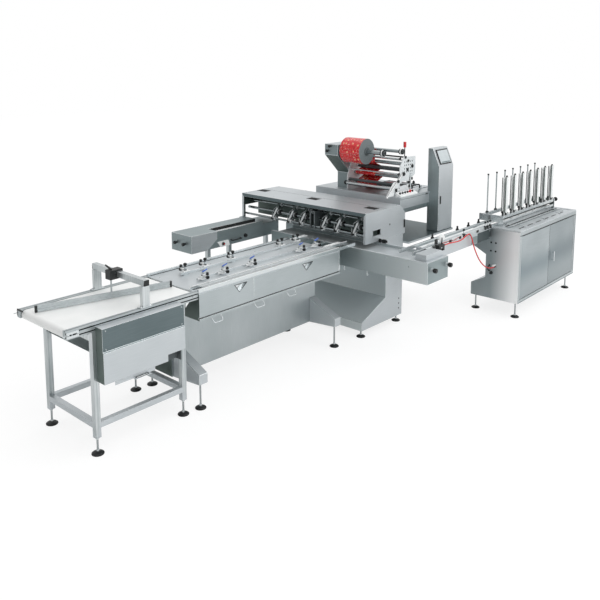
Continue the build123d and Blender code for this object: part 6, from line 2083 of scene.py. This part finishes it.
@dataclass
class ServicePanels:
    """The panel seams, louvres, latches and screws on the line's far sides and its right end."""

    seam: float = 3.0
    louvre_step: float = 24.0
    wrapper_back: float = 1050.0
    wrapper_right: float = 4215.3
    dispenser_back: float = -581.0
    feeder_back: float = 610.0
    column_back: float = -15.0

    def build(self, shop: Shop, patterns: Patterns) -> None:
        """Fits the panels of the wrapper's cabinet, the column, the dispenser and the feeder's base.

        Args:
            shop: The finishes.
            patterns: The trees for what repeats.
        """
        mesh = Mesh(shop, INSIDE, BLACK, BRIGHT)
        slots: list[list[Point]] = []
        back, right = (0, 1, 0), (1, 0, 0)
        for low, high in ((3395.0, 3791.0), (3794.0, 4190.0)):
            self.back_panel(mesh, (low, high), (95.0, 1030.0), self.wrapper_back)
            slots += self.louvres((low + 70, high - 70), 150.0, 7, self.wrapper_back)
            slots += self.louvres((low + 70, high - 70), 840.0, 5, self.wrapper_back)
        for x in (3752.0, 3818.0):
            mesh.box((x - 9, x + 9), (1050, 1056), (520, 640), 1)
            mesh.box((x - 4, x + 4), (1056, 1064), (560, 600), 2)
        for low, high in ((4195.0, 4690.0), (4693.0, 5150.0), (5153.0, 5595.0)):
            self.back_panel(mesh, (low, high), (452.0, 850.0), self.dispenser_back)
            slots += self.louvres((low + 120, high - 120), 700.0, 5, self.dispenser_back)
        for low, high in ((825.0, 1350.0), (1353.0, 1880.0), (1883.0, 2425.0)):
            self.back_panel(mesh, (low, high), (200.0, 645.0), self.feeder_back)
        slots += self.louvres((3975.0, 4175.0), 1440.0, 6, self.column_back)
        side = (self.wrapper_right, self.wrapper_right + 0.6)
        for y, z in (
            ((575, 578), (95, 1030)), ((1022, 1025), (95, 1030)), ((575, 1025), (1027, 1030)),
            ((575, 1025), (95, 98))
        ):
            mesh.box(side, y, z, 0)
        mesh.piece("panel_seams_and_latches")
        patterns.wires("louvre_slots", slots, 7.0, 1.0, GAP)
        lips = [[(x, y, z + 5) for x, y, z in path] for path in slots]
        patterns.wires("louvre_lips", lips, 6.0, 1.0, PALE)
        spots = [((x, self.wrapper_back, z), back) for x in (3382, 3792, 4203) for z in (110, 550, 1020)]
        spots += [((x, self.feeder_back, z), back) for x in (812, 1351, 1881, 2438) for z in (215, 630)]
        spots += [((self.wrapper_right, y, z), right) for y in (565, 1035) for z in (110, 550, 1020)]
        patterns.screws("panel_screws", spots, 14.0)

    def back_panel(self, mesh: Mesh, x: tuple[float, float], z: tuple[float, float], face: float) -> None:
        """Draws the dark seam round one panel of a far side.

        Args:
            mesh: The mesh that gets it.
            x: The panel's limits along the line.
            z: Its limits in height.
            face: Place of the side across the line.
        """
        seam = self.seam
        for across, upright in (
            ((x[0], x[0] + seam), z), ((x[1] - seam, x[1]), z), (x, (z[0], z[0] + seam)),
            (x, (z[1] - seam, z[1])),
        ):
            mesh.box(across, (face, face + 0.6), upright, 0)

    def louvres(self, x: tuple[float, float], z: float, count: int, face: float) -> list[list[Point]]:
        """The paths of a stack of louvre slots on a far side, from its lowest one up."""
        return [[(end, face + 0.5, z + self.louvre_step * row) for end in x] for row in range(count)]


PLAIN = {
    "satin_sheet": "ground_steel_panel", "guard_sheet": "ground_steel_dark", "tube_steel": "tube_steel",
    "bright_steel": "rolled_steel_bright", "shaft_chrome": "hard_chrome", "aluminium": "anodised_aluminium",
    "motor_grey": "cast_grey", "belt_white": "belt_polyurethane", "black_plastic": "black_polyamide",
    "blue_plastic": "blue_polyamide", "red_hose": "red_hose", "red_film": "printed_film",
    "clear_plastic": "clear_vinyl", "screen_glass": "screen_glass",
}


def main() -> None:
    """Builds the studio, the finishes and every sub-assembly in order."""
    shop = Shop()
    frame = Frame(shop)
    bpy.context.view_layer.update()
    Studio().build()
    AirHose().build(shop)
    frame.left.discard("air_hose")
    LevellingFeet().build(shop)
    frame.left.discard("levelling_feet")
    patterns = Patterns(shop)
    for section in (
        InfeedTable(), LaneFeeder(), TransferGear(), CrossConveyor(), SideConveyor(), FlowWrapper(),
        FilmUnwind(), TrayConveyor(), TrayDispenser(), TrayMagazine(),
    ):
        section.build(shop, frame, patterns)
        LOG.info("%s is built", type(section).__name__)
    ServicePanels().build(shop, patterns)
    for node in ("clamping_knobs", "film_roll", "film_mandrel", "splice_shaft"):
        frame.left.discard(node)
    frame.dress_rest(PLAIN)


if __name__ == "__main__":
    logging.basicConfig(level=logging.INFO, format="%(name)s: %(message)s")
    main()
